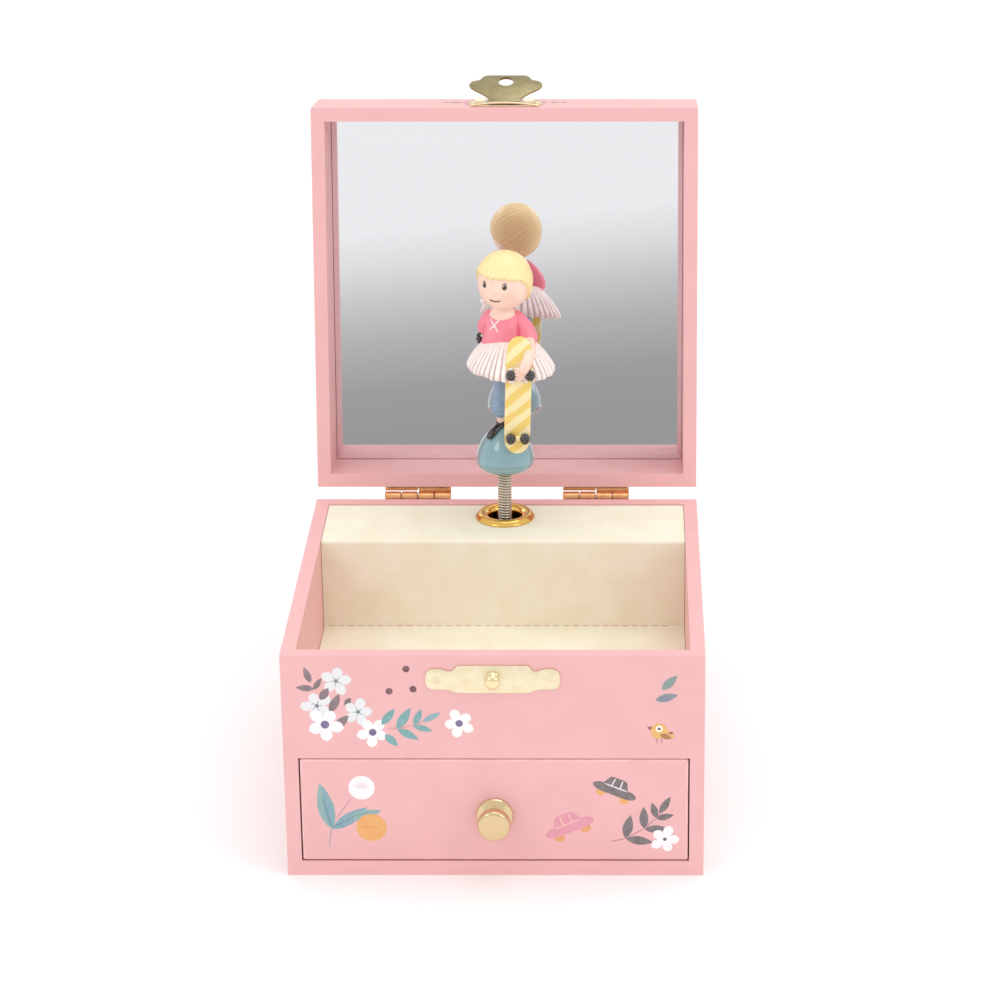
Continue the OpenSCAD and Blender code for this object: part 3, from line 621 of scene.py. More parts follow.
def plated_steel(name, colour, dull, roughness):
    # Stamped sheet steel, thinly plated: bright, faintly brushed, a little duller in patches.
    material, tree, place = new_material(name)
    tarnish = add(tree, "ShaderNodeTexNoise", {
        "Vector": place, "Scale": scale_for(2.6), "Detail": 3.0}).outputs[0]
    patch = add(tree, "ShaderNodeMapRange", {0: tarnish, 1: 0.35, 2: 0.75, 3: 0.0, 4: 0.55}).outputs[0]
    colours = add(tree, "ShaderNodeMix", {
        0: patch, 6: ink(colour), 7: ink(dull)}, data_type="RGBA").outputs[2]
    along = add(tree, "ShaderNodeMapping", {"Vector": place, "Scale": (0.08, 1, 1)}).outputs[0]
    lines = add(tree, "ShaderNodeTexNoise", {
        "Vector": along, "Scale": scale_for(0.35), "Detail": 3.0}).outputs[0]
    brushed = add(tree, "ShaderNodeMapRange", {
        0: lines, 1: 0.3, 2: 0.7, 3: roughness - 0.06, 4: roughness + 0.1}).outputs[0]
    bump = add(tree, "ShaderNodeBump", {"Height": lines, "Distance": 0.008 * MM}).outputs[0]
    plate = add(tree, "ShaderNodeBsdfPrincipled", {
        "Base Color": colours, "Metallic": 1.0, "Roughness": brushed, "Normal": bump})
    add(tree, "ShaderNodeOutputMaterial", {"Surface": plate.outputs[0]})
    return material


def turned_brass(name, colour, roughness, centre, axis):
    # Turned, polished and lacquered brass: fine tool rings round its axis under a clear gloss.
    material, tree, place = new_material(name)
    centred = add(tree, "ShaderNodeMapping", {
        "Vector": place, "Location": tuple(-c * MM for c in centre)}).outputs[0]
    # the rings are drawn at 0.9 mm, coarser than the tool's 0.1 mm, so that they show
    rings = add(tree, "ShaderNodeTexWave", {
        "Vector": centred, "Scale": scale_for(0.9), "Distortion": 0.6, "Detail": 2.0, "Detail Scale": 2.0},
        wave_type="RINGS", rings_direction=axis).outputs[1]
    polish = add(tree, "ShaderNodeMapRange", {0: rings, 3: roughness - 0.03, 4: roughness + 0.05}).outputs[0]
    bump = add(tree, "ShaderNodeBump", {"Height": rings, "Distance": 0.004 * MM}).outputs[0]
    brass = add(tree, "ShaderNodeBsdfPrincipled", {
        "Base Color": ink(colour), "Metallic": 1.0, "Roughness": polish, "Coat Weight": 0.3,
        "Coat Roughness": 0.1, "Normal": bump})
    add(tree, "ShaderNodeOutputMaterial", {"Surface": brass.outputs[0]})
    return material


def bare_metal(name, colour, dull, roughness, grit_mm, depth_mm=0.02):
    # Plain metal as it leaves the tool or the mould, with the grit of its finish.
    material, tree, place = new_material(name)
    grit = add(tree, "ShaderNodeTexNoise", {
        "Vector": place, "Scale": scale_for(grit_mm), "Detail": 4.0}).outputs[0]
    share = add(tree, "ShaderNodeMapRange", {0: grit, 1: 0.35, 2: 0.75}).outputs[0]
    colours = add(tree, "ShaderNodeMix", {
        0: share, 6: ink(colour), 7: ink(dull)}, data_type="RGBA").outputs[2]
    rough = add(tree, "ShaderNodeMapRange", {
        0: grit, 1: 0.3, 2: 0.7, 3: roughness - 0.05, 4: roughness + 0.08}).outputs[0]
    bump = add(tree, "ShaderNodeBump", {"Height": grit, "Distance": depth_mm * MM}).outputs[0]
    metal = add(tree, "ShaderNodeBsdfPrincipled", {
        "Base Color": colours, "Metallic": 1.0, "Roughness": rough, "Normal": bump})
    add(tree, "ShaderNodeOutputMaterial", {"Surface": metal.outputs[0]})
    return material


def silvered_glass():
    # Float glass silvered on its back: clear and sharp, with a hint of cool grey.
    material, tree, place = new_material("silvered_glass")
    film = add(tree, "ShaderNodeTexNoise", {
        "Vector": place, "Scale": scale_for(30), "Detail": 2.0}).outputs[0]
    clear = add(tree, "ShaderNodeMapRange", {0: film, 1: 0.3, 2: 0.7, 3: 0.004, 4: 0.012}).outputs[0]
    glass = add(tree, "ShaderNodeBsdfPrincipled", {
        "Base Color": ink("#F4F4F7"), "Metallic": 1.0, "Roughness": clear})
    add(tree, "ShaderNodeOutputMaterial", {"Surface": glass.outputs[0]})
    return material


def moulded_nylon():
    # Injection-moulded nylon: milky white, waxy and slightly see-through.
    material, tree, place = new_material("moulded_nylon")
    flow = add(tree, "ShaderNodeTexNoise", {
        "Vector": place, "Scale": scale_for(1.5), "Detail": 3.0}).outputs[0]
    waxy = add(tree, "ShaderNodeMapRange", {0: flow, 1: 0.3, 2: 0.7, 3: 0.35, 4: 0.45}).outputs[0]
    bump = add(tree, "ShaderNodeBump", {"Height": flow, "Distance": 0.01 * MM}).outputs[0]
    nylon = add(tree, "ShaderNodeBsdfPrincipled", {
        "Base Color": ink("#ECEAE2"), "Roughness": waxy, "IOR": 1.53, "Subsurface Weight": 0.15,
        "Subsurface Scale": MM, "Normal": bump})
    add(tree, "ShaderNodeOutputMaterial", {"Surface": nylon.outputs[0]})
    return material


def resin_paint(name, colour, shade, roughness=0.36, coat=0.25, patch_mm=2.2, mask="", shade_share=0.6):
    # Cast resin, painted by hand with acrylic and clear lacquered: soft colour that pools a little
    # darker in patches, with faint brush marks. The attribute mask mixes in the shade colour:
    # as painted shade where it names hollows, and as the cheeks' own blush where it names blush.
    material, tree, place = new_material(name)
    pools = add(tree, "ShaderNodeTexNoise", {
        "Vector": place, "Scale": scale_for(patch_mm), "Detail": 3.0}).outputs[0]
    pooled = add(tree, "ShaderNodeMapRange", {
        0: pools, 1: 0.4, 2: 0.75, 3: 0.0, 4: 0.25 if mask else shade_share}).outputs[0]
    coats = add(tree, "ShaderNodeMix", {
        0: pooled, 6: ink(colour), 7: ink(shade)}, data_type="RGBA").outputs[2]
    hollow = add(tree, "ShaderNodeAttribute", attribute_name=mask).outputs["Fac"]
    deep = add(tree, "ShaderNodeMapRange", {0: hollow, 4: shade_share}).outputs[0]
    colours = add(tree, "ShaderNodeMix", {0: deep, 6: coats, 7: ink(shade)}, data_type="RGBA").outputs[2]
    upright = add(tree, "ShaderNodeMapping", {"Vector": place, "Scale": (1, 1, 0.3)}).outputs[0]
    strokes = add(tree, "ShaderNodeTexNoise", {
        "Vector": upright, "Scale": scale_for(0.5), "Detail": 4.0}).outputs[0]
    gloss = add(tree, "ShaderNodeMapRange", {
        0: strokes, 1: 0.3, 2: 0.7, 3: roughness - 0.05, 4: roughness + 0.07}).outputs[0]
    bump = add(tree, "ShaderNodeBump", {"Height": strokes, "Distance": 0.02 * MM, "Strength": 0.5}).outputs[0]
    resin = add(tree, "ShaderNodeBsdfPrincipled", {
        "Base Color": colours, "Roughness": gloss, "IOR": 1.5, "Coat Weight": coat, "Coat Roughness": 0.08,
        "Normal": bump})
    add(tree, "ShaderNodeOutputMaterial", {"Surface": resin.outputs[0]})
    return material


def hair_paint():
    # The same paint, straw yellow in front and golden brown behind, and darker in the combed grooves as
    # painted shade.
    material, tree, place = new_material("resin_hair_paint")
    depth = add(tree, "ShaderNodeSeparateXYZ", {0: place}).outputs[1]
    back = add(tree, "ShaderNodeMapRange", {
        0: depth, 1: HEAD.y * MM - 4 * MM, 2: HEAD.y * MM + 5 * MM}).outputs[0]
    light = add(tree, "ShaderNodeMix", {
        0: back, 6: ink("#FBE9B0"), 7: ink("#F8E0AA")}, data_type="RGBA").outputs[2]
    dark = add(tree, "ShaderNodeMix", {
        0: back, 6: ink("#F0D288"), 7: ink("#DDB46E")}, data_type="RGBA").outputs[2]
    # the grooves' darkening is painted shade
    groove = add(tree, "ShaderNodeAttribute", attribute_name="groove").outputs["Fac"]
    groove_shade = add(tree, "ShaderNodeMapRange", {0: groove, 4: 0.75}).outputs[0]
    colours = add(tree, "ShaderNodeMix", {0: groove_shade, 6: light, 7: dark}, data_type="RGBA").outputs[2]
    strokes = add(tree, "ShaderNodeTexNoise", {
        "Vector": place, "Scale": scale_for(0.5), "Detail": 4.0}).outputs[0]
    gloss = add(tree, "ShaderNodeMapRange", {0: strokes, 1: 0.3, 2: 0.7, 3: 0.34, 4: 0.46}).outputs[0]
    bump = add(tree, "ShaderNodeBump", {"Height": strokes, "Distance": 0.02 * MM, "Strength": 0.5}).outputs[0]
    resin = add(tree, "ShaderNodeBsdfPrincipled", {
        "Base Color": colours, "Roughness": gloss, "IOR": 1.5, "Coat Weight": 0.2, "Coat Roughness": 0.2,
        "Normal": bump})
    add(tree, "ShaderNodeOutputMaterial", {"Surface": resin.outputs[0]})
    return material


def striped_paint():
    # The board's paint: pale yellow with broad slanting bands of a deeper yellow, brushed by hand.
    material, tree, place = new_material("resin_board_paint")
    parts = add(tree, "ShaderNodeSeparateXYZ", {0: place}).outputs
    slope = add(tree, "ShaderNodeMath", {0: parts[0], 1: -0.85}, operation="MULTIPLY").outputs[0]
    along = add(tree, "ShaderNodeMath", {0: parts[2], 1: slope}, operation="ADD").outputs[0]
    waves = add(tree, "ShaderNodeTexNoise", {
        "Vector": place, "Scale": scale_for(5), "Detail": 2.0}).outputs[0]
    wobble = add(tree, "ShaderNodeMapRange", {0: waves, 1: 0.3, 2: 0.7, 3: -0.5 * MM, 4: 0.5 * MM}).outputs[0]
    uneven = add(tree, "ShaderNodeMath", {0: along, 1: wobble}, operation="ADD").outputs[0]
    count = add(tree, "ShaderNodeMath", {0: uneven, 1: 2.7 * MM}, operation="DIVIDE").outputs[0]
    phase = add(tree, "ShaderNodeMath", {0: count, 1: 1.0}, operation="PINGPONG").outputs[0]
    band = add(tree, "ShaderNodeMapRange", {0: phase, 1: 0.46, 2: 0.56}).outputs[0]
    colours = add(tree, "ShaderNodeMix", {0: band, 6: ink("#FBEDB6"), 7: ink("#F3D677")}, data_type="RGBA")
    strokes = add(tree, "ShaderNodeTexNoise", {
        "Vector": place, "Scale": scale_for(0.5), "Detail": 4.0}).outputs[0]
    gloss = add(tree, "ShaderNodeMapRange", {0: strokes, 1: 0.3, 2: 0.7, 3: 0.34, 4: 0.46}).outputs[0]
    bump = add(tree, "ShaderNodeBump", {"Height": strokes, "Distance": 0.02 * MM, "Strength": 0.5}).outputs[0]
    resin = add(tree, "ShaderNodeBsdfPrincipled", {
        "Base Color": colours.outputs[2], "Roughness": gloss, "IOR": 1.5, "Coat Weight": 0.15,
        "Coat Roughness": 0.2, "Normal": bump})
    add(tree, "ShaderNodeOutputMaterial", {"Surface": resin.outputs[0]})
    return material


HEAD = Vector((0.8, SPINDLE.y - 1.4, 140.5))
PINK = laminated_paper("laminated_pink_paper", "#EDB7B7", "#E9B4B4", "#FFE2DE")
INK = printing_ink()
CARD = uncoated_card("uncoated_cream_card", "#F2EEDB", "#EDE7CE", "#DCCBA4")
# darker card for the slits: the cut's own edge with painted shade in it
SLIT_CUT_AND_SHADE = uncoated_card("scored_card_core", "#CDB488", "#B79B6B", "#A98C5C")
BOARD = pressed_board()
PLY = poplar_ply()
PALE_BRASS = plated_steel("brass_plated_steel", "#F0E4C6", "#E2CFA2", 0.33)
# the hasp's flap: the same plated brass, made dark olive as a painted reflection of the dark room it faces
DARK_REFLECTION_BRASS = plated_steel("brass_plated_steel_tumbled", "#A69A74", "#877C5A", 0.36)
COPPER = plated_steel("copper_plated_steel", "#DDA372", "#B9774C", 0.28)
KNOB_BRASS = turned_brass("turned_knob_brass", "#DCC497", 0.13, (0, 0, KNOB_Z), "Y")
EYELET_BRASS = turned_brass("spun_eyelet_brass", "#E6B95E", 0.14, (0, SPINDLE.y, 0), "Z")
GEAR_BRASS = bare_metal("hobbed_gear_brass", "#D9B36A", "#C4A15F", 0.26, 0.8)
SPRING_STEEL = bare_metal("nickel_plated_spring_steel", "#DDD5C6", "#C8C0B2", 0.3, 0.6, 0.004)
TOOL_STEEL = bare_metal("ground_steel", "#B4B7BB", "#A3A6AA", 0.3, 0.5, 0.008)
ZINC = bare_metal("die_cast_zinc", "#A7ABAF", "#979B9F", 0.45, 0.9, 0.03)
SILVER = silvered_glass()
NYLON = moulded_nylon()
TEAL = resin_paint("resin_teal_paint", "#84ADB4", "#7AA4AC", 0.12, 1.0, 7)
SKIN = resin_paint("resin_skin_paint", "#FBDCCB", "#F3B9A8", 0.42, 0.12, mask="blush")
CORAL = resin_paint("resin_coral_paint", "#FA8FA1", "#E2647C", 0.34, 0.25, mask="hollow")
# the skirt's shade colour, put in by the mask hollow, is painted shade in the pleats' valleys
SKIRT = resin_paint("resin_skirt_paint", "#FFF6F2", "#CFB2AE", 0.36, 0.3, mask="hollow", shade_share=0.9)
TROUSER = resin_paint("resin_blue_grey_paint", "#8DA9C6", "#6F8BA8", 0.3, 0.4)
BLACK = resin_paint("resin_black_paint", "#2A2223", "#171213", 0.12, 1.0)
WHITE = resin_paint("resin_white_paint", "#FBF5F3", "#E4D7D6", 0.4, 0.15)
LINE = resin_paint("resin_fine_line_paint", "#6B4038", "#4A2B26", 0.4, 0.1)
HAIR = hair_paint()
DECK = striped_paint()


# ---- papered case ----

def papered(bm, fold=0.6):
    """A paper skin on the surface, folded softly at the edges and closed round its thickness."""
    return worked(rounded(bm, fold), ("SOLIDIFY", dict(thickness=PAPER, offset=-1, use_even_offset=True)))


walls = cells((-SIDE, -INNER, INNER, SIDE), (-SIDE, -INNER, INNER, SIDE), (0, BASE_TOP, OPENING_TOP, RIM),
              lambda i, j, k: (i != 1 or j != 1) and not (i == 1 and j == 0 and k == 1), bottom=False)
walls = papered(walls)
screws_low, screws_high = box_mm("movement_screws")
SCREW_R = 2.5
SCREW_PLACES = [(screws_low.x + SCREW_R, 17), (screws_low.x + SCREW_R, screws_high.z - SCREW_R),
                (screws_high.x - SCREW_R, 22)]
walls = cut(walls, rod("Y", INNER - 1, 6, 4, z=BARREL.z),
            *[rod("Y", INNER - 1, 6, 1.15, x=x, z=z, n=24) for x, z in SCREW_PLACES])
make("case_paper", walls, "case", PINK, ["case_wrap"], recalc=False)

# the cream card: one folded sheet for the tray's floor, the wall behind it and the ledge's top
FOLD = 1.0
sheet_t = 0.5
floor_y, floor_top = card_low.y, card_low.z + sheet_t
top = card_high.z


def card_line(inset):
    """Half of the card's section, as (y, z), set in from its outer face."""
    arc = [(LEDGE_FRONT + FOLD - (FOLD - inset) * math.cos(a), top - FOLD + (FOLD - inset) * math.sin(a))
           for a in (math.radians(9 * i) for i in range(11))]
    return [(floor_y, floor_top - inset), (LEDGE_FRONT - 6 + inset, floor_top - inset),
            (LEDGE_FRONT - 0.6 + inset, floor_top - inset + 0.05),
            (LEDGE_FRONT + inset, floor_top - inset + 0.5), (LEDGE_FRONT + inset * 0.9, floor_top + 9),
            (LEDGE_FRONT + inset * 0.9, top - 9)] + arc + [(LEDGE_FRONT + 9, top - inset),
                                                          (card_high.y, top - inset)]


section = card_line(0) + card_line(sheet_t)[::-1]
card_x = INNER - 0.12
stations = [-card_x + 2 * card_x * i / 16 for i in range(17)]
rings = [[(x, y, z) for y, z in section] for x in stations]
card = cut(loft(rings), rod("Z", top - 3, 6, 6.3, y=SPINDLE.y))
make("tray_card", card, "case", CARD, ["liner_card"], crease=30)

# scored slits along the card's inner fold, in a darker card colour: partly the cut card, partly painted shade
# inside the cuts
slit = rounded(block((-0.9, -0.02, -0.12), (0.9, 0.02, 0.12)), 0.01, 1)
SLIT_PITCH = 2.9
fold_marks = [((x, LEDGE_FRONT - 0.02, floor_top + 0.55),) for x in
              [-card_x + 2.2 + SLIT_PITCH * i for i in range(int((2 * card_x - 3) / SLIT_PITCH))]]
make("tray_card_slits", set_out(slit, fold_marks, SLIT_CUT_AND_SHADE, size_spread=0.18, seed=4), "case",
     SLIT_CUT_AND_SHADE)

# brass eyelet with a rolled rim
eyelet_low, eyelet_high = box_mm("grommet")
eye_r = eyelet_high.x
eye_profile = curve_points([(4.9, top - 0.3, 0), (5.0, top + 0.5, 0), (5.45, top + 1.15, 0),
                            (6.1, eyelet_high.z - 0.18, 0), (6.9, eyelet_high.z, 0),
                            (7.7, eyelet_high.z - 0.12, 0), (8.35, top + 0.95, 0),
                            (eye_r - 0.05, top + 0.4, 0), (eye_r - 0.15, top + 0.05, 0)], 4)
eye_profile = [(p.x, p.y) for p in eye_profile] + [(6.2, top), (6.2, eyelet_low.z), (4.8, eyelet_low.z)]
make("eyelet", shifted(lathe(eye_profile, 96, closed=True), y=SPINDLE.y), "case", EYELET_BRASS,
     ["grommet"], crease=40)


# ---- hinges, catch and hasp ----

HINGE_X = 27
LEAF_T = 0.6                            # sheet of the hinge leaves
KNUCKLE_R = 1.9
KNUCKLE_BORE = 0.86
HINGE_NAIL_X = 6                        # from the hinge's middle
HINGE_NAIL_Z = 6.48                     # from the hinge's pin
PLATE_T = 0.5                           # sheet of the catch and hasp plates
PLATE_EDGE = 0.18
CATCH_NAIL_X = 15.4
HASP_NAIL_X = 9.5
NAIL_HOLE = 0.7
HINGE_W = box_mm("hinge_pins")[1].x - HINGE_X


def rolled_leaf(up):
    """One stamped leaf and its rolled knuckle, for a hinge at x = 0, beside the pin at the origin."""
    back = SIDE - HINGE.y
    parts = [shifted(rounded(sheet_metal(
        [(-HINGE_W + 0.6, 0.9), (HINGE_W - 0.6, 0.9), (HINGE_W, 1.5), (HINGE_W, 8.9), (HINGE_W - 1, 9.9),
         (-HINGE_W + 1, 9.9), (-HINGE_W, 8.9), (-HINGE_W, 1.5)], LEAF_T), 0.15, 2), y=back + LEAF_T)]
    spans = ((0.15, HINGE_W / 2 - 0.1), (HINGE_W / 2 + 0.1, HINGE_W)) if up > 0 else \
        ((-HINGE_W, -HINGE_W / 2 - 0.1), (-HINGE_W / 2 + 0.1, -0.15))
    for a, b in spans:
        r = KNUCKLE_R
        knuckle = [(KNUCKLE_BORE, a), (r - 0.25, a), (r, a + 0.2), (r, b - 0.2), (r - 0.25, b),
                   (KNUCKLE_BORE, b)]
        parts.append(lathe(knuckle, 40, "X", closed=True))
    a, b = (0.15, HINGE_W) if up > 0 else (-HINGE_W, -0.15)
    parts.append(rounded(block((a, back, 0.9), (b, -0.9, 1.75)), 0.15, 2))
    # beside the other leaf's knuckle the bent lip stops short of it
    parts.append(rounded(block((-b, back, 0.9), (-a, -2.0, 1.75)), 0.15, 2))
    whole = joined(*parts)
    if up < 0:
        whole = moved(whole, Matrix.Diagonal((1, 1, -1, 1)))
        bmesh.ops.reverse_faces(whole, faces=whole.faces)
    return whole


def both_hinges(bm):
    copy = bm.copy()
    return joined(shifted(bm, x=-HINGE_X, y=HINGE.y, z=HINGE.z),
                  shifted(copy, x=HINGE_X, y=HINGE.y, z=HINGE.z))


make("hinge_leaves_case", both_hinges(rolled_leaf(-1)), "case", COPPER,
     ["hinge_case_leaves"])
make("hinge_leaves_lid", both_hinges(rolled_leaf(1)), "lid", COPPER,
     ["hinge_lid_leaves"], place=LID_OPEN)


def nail():
    """Round-headed nail along Y, its head towards +Y."""
    return lathe([(0, -3), (0.25, -2.6), (0.6, -2), (0.6, 0), (1.25, 0), (1.3, 0.12), (1.1, 0.34),
                  (0.7, 0.48), (0, 0.54)], 20, "Y")


def nails(name, body, material, node, places, turn, place=None, size=1.0):
    make(name, set_out(nail(), [(p, turn) for p in places], material, size=size, size_spread=0.03, seed=7),
         body, material, [node], place=place)


hinge_nails = [(x + s, SIDE + LEAF_T) for x in (-HINGE_X, HINGE_X) for s in (-HINGE_NAIL_X, HINGE_NAIL_X)]
nails("case_hinge_nails", "case", COPPER, "hinge_case_nails",
      [(x, y, HINGE.z - HINGE_NAIL_Z) for x, y in hinge_nails], (0, 0, 0))
nails("lid_hinge_nails", "lid", COPPER, "hinge_lid_nails",
      [(x, y, HINGE.z + HINGE_NAIL_Z) for x, y in hinge_nails], (0, 0, 0), LID_OPEN)
nails("catch_plate_nails", "case", PALE_BRASS, "catch_nails",
      [(x, -SIDE - PLATE_T, CATCH_Z) for x in (-CATCH_NAIL_X, CATCH_NAIL_X)], (0, 0, 180), size=0.8)

half_catch = [(0, 3.95), (8.8, 3.95), (9.7, 3.75), (10.3, 3.0), (10.9, 2.45), (12.1, 2.3), (13.2, 2.65),
              (14.2, 3.0), (15.6, 3.0), (16.9, 2.75), (17.9, 1.9), (18.2, 0.3), (18.1, -1.5), (17.4, -2.7),
              (15.9, -3.1), (13.4, -3.1), (12.0, -3.25), (10.9, -3.6), (10.0, -4.0), (9.0, -4.15), (0, -4.15)]


def stamped(half, thickness, edge, per=3):
    """Plate with a smooth outline from its right half, which runs from top middle to bottom middle."""
    right = [(p.x, p.y) for p in curve_points([(x, z, 0) for x, z in half], per)]
    outline = right + [(-x, z) for x, z in right[::-1] if x > 1e-6]
    return rounded(sheet_metal(outline, thickness), edge, 2)


catch = shifted(stamped(half_catch, PLATE_T, PLATE_EDGE), y=-SIDE, z=CATCH_Z)
catch = cut(catch, *[rod("Y", -SIDE - 1, 2, NAIL_HOLE, x=x, z=CATCH_Z, n=24)
                     for x in (-CATCH_NAIL_X, 0, CATCH_NAIL_X)])
make("catch_front_plate", catch, "case", PALE_BRASS, ["catch_plate"], crease=40)
stud_profile = [(0, -3), (0.69, -3), (0.69, 0.48), (1.95, 0.5), (2.1, 0.62), (1.9, 0.85), (1.55, 1.2),
                (1.45, 1.7), (1.65, 2.05), (2.0, 2.3), (2.1, 2.6), (2.05, 2.95), (1.8, 3.3), (1.3, 3.55),
                (0.7, 3.67), (0, 3.7)]
STUD_BRASS = turned_brass("turned_stud_brass", "#F0DDB0", 0.18, (0, 0, CATCH_Z), "Y")
make("stud", shifted(lathe(stud_profile, 48, "-Y"), y=-SIDE, z=CATCH_Z), "case", STUD_BRASS,
     ["catch_stud"])

plate_mid = PIN.z + 5
LOOP_X = 7.25
loop = [(0.55, -1.7), (1.1, -1.7), (1.3, -1.5), (1.3, 1.5), (1.1, 1.7), (0.55, 1.7)]
half_plate = [(0, 3), (8.2, 3.0), (9.7, 2.75), (10.8, 1.7), (11.2, 0), (10.8, -1.7), (9.9, -2.8), (9.0, -3.4),
              (8.8, -5.2), (8.4, -6.2), (0, -6.3)]
hasp_parts = [shifted(stamped(half_plate, PLATE_T, PLATE_EDGE), y=-SIDE, z=plate_mid)]
for s in (-1, 1):
    hasp_parts.append(shifted(lathe(loop, 32, "X", closed=True), x=LOOP_X * s, y=PIN.y, z=PIN.z))
    hasp_parts.append(shifted(rounded(block((-1.7, 0.6, -0.2), (1.7, 1.25, 2.2)), 0.2, 2),
                              x=LOOP_X * s, y=PIN.y, z=PIN.z))
# the plate's lower edge is pressed forward into a low arch
arch = [(x, -SIDE - 0.35 - 0.85 * (1 - (x / 10) ** 2), PIN.z - 1.1) for x in range(-10, 11)]
hasp_parts.append(limb(arch, 0.33, 12))
hasp = joined(*hasp_parts)
hasp = cut(hasp, *[rod("Y", -SIDE - 1, 2, NAIL_HOLE, x=x, z=plate_mid, n=24)
                   for x in (-HASP_NAIL_X, HASP_NAIL_X)])
make("hasp_base_plate", hasp, "lid", PALE_BRASS, ["hasp_plate"], place=LID_OPEN, crease=40)
nails("hasp_plate_nails", "lid", PALE_BRASS, "hasp_nails",
      [(x, -SIDE - PLATE_T, plate_mid) for x in (-HASP_NAIL_X, HASP_NAIL_X)], (0, 0, 180), LID_OPEN)

half_flap = [(0, 0.2), (4.5, 0.2), (4.6, -1.2), (4.9, -2.6), (5.9, -4.2), (7.7, -6.0), (9.7, -7.7),
             (10.8, -9.2), (10.9, -10.7), (10.1, -12.0), (8.7, -12.6), (7.7, -13.1), (7.2, -14.2),
             (6.3, -15.1), (5.0, -15.4), (0, -15.4)]
flap = shifted(stamped(half_flap, 0.7, 0.2), y=PIN.y - 0.3, z=PIN.z)
flap = cut(flap, rod("Y", PIN.y - 2, 4, 2.35, z=CATCH_Z))
barrel = shifted(lathe([(0.56, -4.9), (0.85, -4.9), (1.0, -4.7), (1.0, 4.7), (0.85, 4.9), (0.56, 4.9)], 32,
                       "X", closed=True), y=PIN.y, z=PIN.z)
rib = limb([(x, PIN.y - 1.0 - 0.05, PIN.z - 3.2 - 0.10 * abs(x)) for x in (-3.4, -1.7, 0, 1.7, 3.4)], 0.22,
           10)
# the flap's dark olive colour is a painted reflection, not a finish of its own
make("hasp_butterfly", joined(flap, barrel, rib), "hasp", DARK_REFLECTION_BRASS, ["hasp_flap"], place=FLAP_BACK,
     crease=40)


# ---- lid ----

lid_skin = cells((-SIDE, -INNER, INNER, SIDE), (-SIDE, -INNER, INNER, SIDE),
                 (lid_low.z, mirror_high.z, lid_high.z), lambda i, j, k: k == 1 or i != 1 or j != 1)
make("lid_paper", papered(lid_skin), "lid", PINK, ["lid_wrap"], place=LID_OPEN, recalc=False)

# mirror with a narrow ground bevel round its front face
m, face, glass_back = INNER - 0.12, mirror_low.z, mirror_high.z
BORDER = 1.4


def square(half, z):
    return [(-half, -half, z), (half, -half, z), (half, half, z), (-half, half, z)]


mirror = loft([square(m, glass_back), square(m, face + 0.15), square(m - 0.08, face + 0.07),
               square(m - BORDER, face)])
make("bevelled_mirror", mirror, "lid", SILVER, ["mirror_glass"], place=LID_OPEN, crease=2)


# ---- drawer ----

GAP = 0.3
drawer_face = rounded(block(front_low - Vector((GAP, 0, GAP)), front_high + Vector((GAP, 0, GAP))), 0.6)
drawer_face = cut(drawer_face, rod("Y", front_low.y - 1, 8, 1.6, z=KNOB_Z))
make("drawer_papered_front", drawer_face, "drawer", PINK, ["drawer_front"])
knob_high = -box_mm("drawer_knob")[0].y - SIDE
knob_profile = [(1.6, 0), (4.6, 0), (4.95, 0.12), (5.1, 0.45), (5.1, 0.8), (4.9, 1.1), (4.3, 1.35),
                (3.3, 1.6), (2.75, 1.95), (2.55, 2.5), (2.7, 3.1), (3.2, 3.75), (3.9, 4.2), (4.3, 4.6),
                (4.48, 5.1), (4.5, 5.8), (4.5, 6.9), (4.42, 7.2), (4.2, 7.5), (3.85, 7.72),
                (3.3, knob_high - 0.02), (0, knob_high), (0, 5.2), (1.6, 5.2)]
make("turned_knob", shifted(lathe(knob_profile, 96, "-Y"), y=-SIDE, z=KNOB_Z), "drawer", KNOB_BRASS,
     ["drawer_knob"], crease=28)


# ---- movement's visible back: screws and key ----

screw_head = lathe([(0, -6.4), (1.05, -6.4), (1.05, 0), (2.5, 0), (2.5, 0.55), (2.35, 0.7), (2.0, 0.72),
                    (1.95, 1.1), (1.6, 1.28), (0, 1.3)], 32, "Y")
screw_head = cut(screw_head, block((-0.3, 0.85, -3), (0.3, 2, 3)))
make("movement_fixing_screws", set_out(screw_head, [((x, SIDE, z), (0, 25 * i + 10, 0)) for i, (x, z) in
                                                    enumerate(SCREW_PLACES)], TOOL_STEEL),
     "case", TOOL_STEEL, ["movement_screws"])

key_low, key_high = box_mm("winding_key")
hub = lathe([(1.5, key_low.y), (2.4, key_low.y), (2.6, key_low.y + 0.3), (2.6, key_low.y + 5.4),
             (2.3, key_low.y + 6.2), (1.6, key_low.y + 7.2), (0, key_low.y + 7.4), (0, key_low.y + 4.9),
             (1.5, key_low.y + 4.9)], 40, "Y")
half_bow = [(0, 13.6), (1.6, 14.2), (3.4, 15.2), (5.4, 15.25), (7.8, 14.4), (9.3, 12.4), (9.55, 10.4),
            (8.8, 8.2), (7.0, 6.7), (4.6, 6.3), (2.6, 6.0), (1.8, 4.6), (0, 4.4)]
bow_scale = (key_high.x / 9.6, (key_high.y - SIDE - 0.3) / 15.3)
bow = stamped([(x * bow_scale[0], z * bow_scale[1]) for x, z in half_bow], 1.3, 0.35, 4)
bow = cut(shifted(bow, y=0.65), *[rod("Y", -2, 4, 1.9, x=s * 5.1, z=10.8) for s in (-1, 1)])
bow = turned(bow, "X", -90)
bow = moved(bow, Matrix.Translation((0, SIDE, 0)))
make("wing_key", shifted(joined(hub, bow), z=BARREL.z), "key", PALE_BRASS, ["winding_key"])


# ---- spring and figure ----

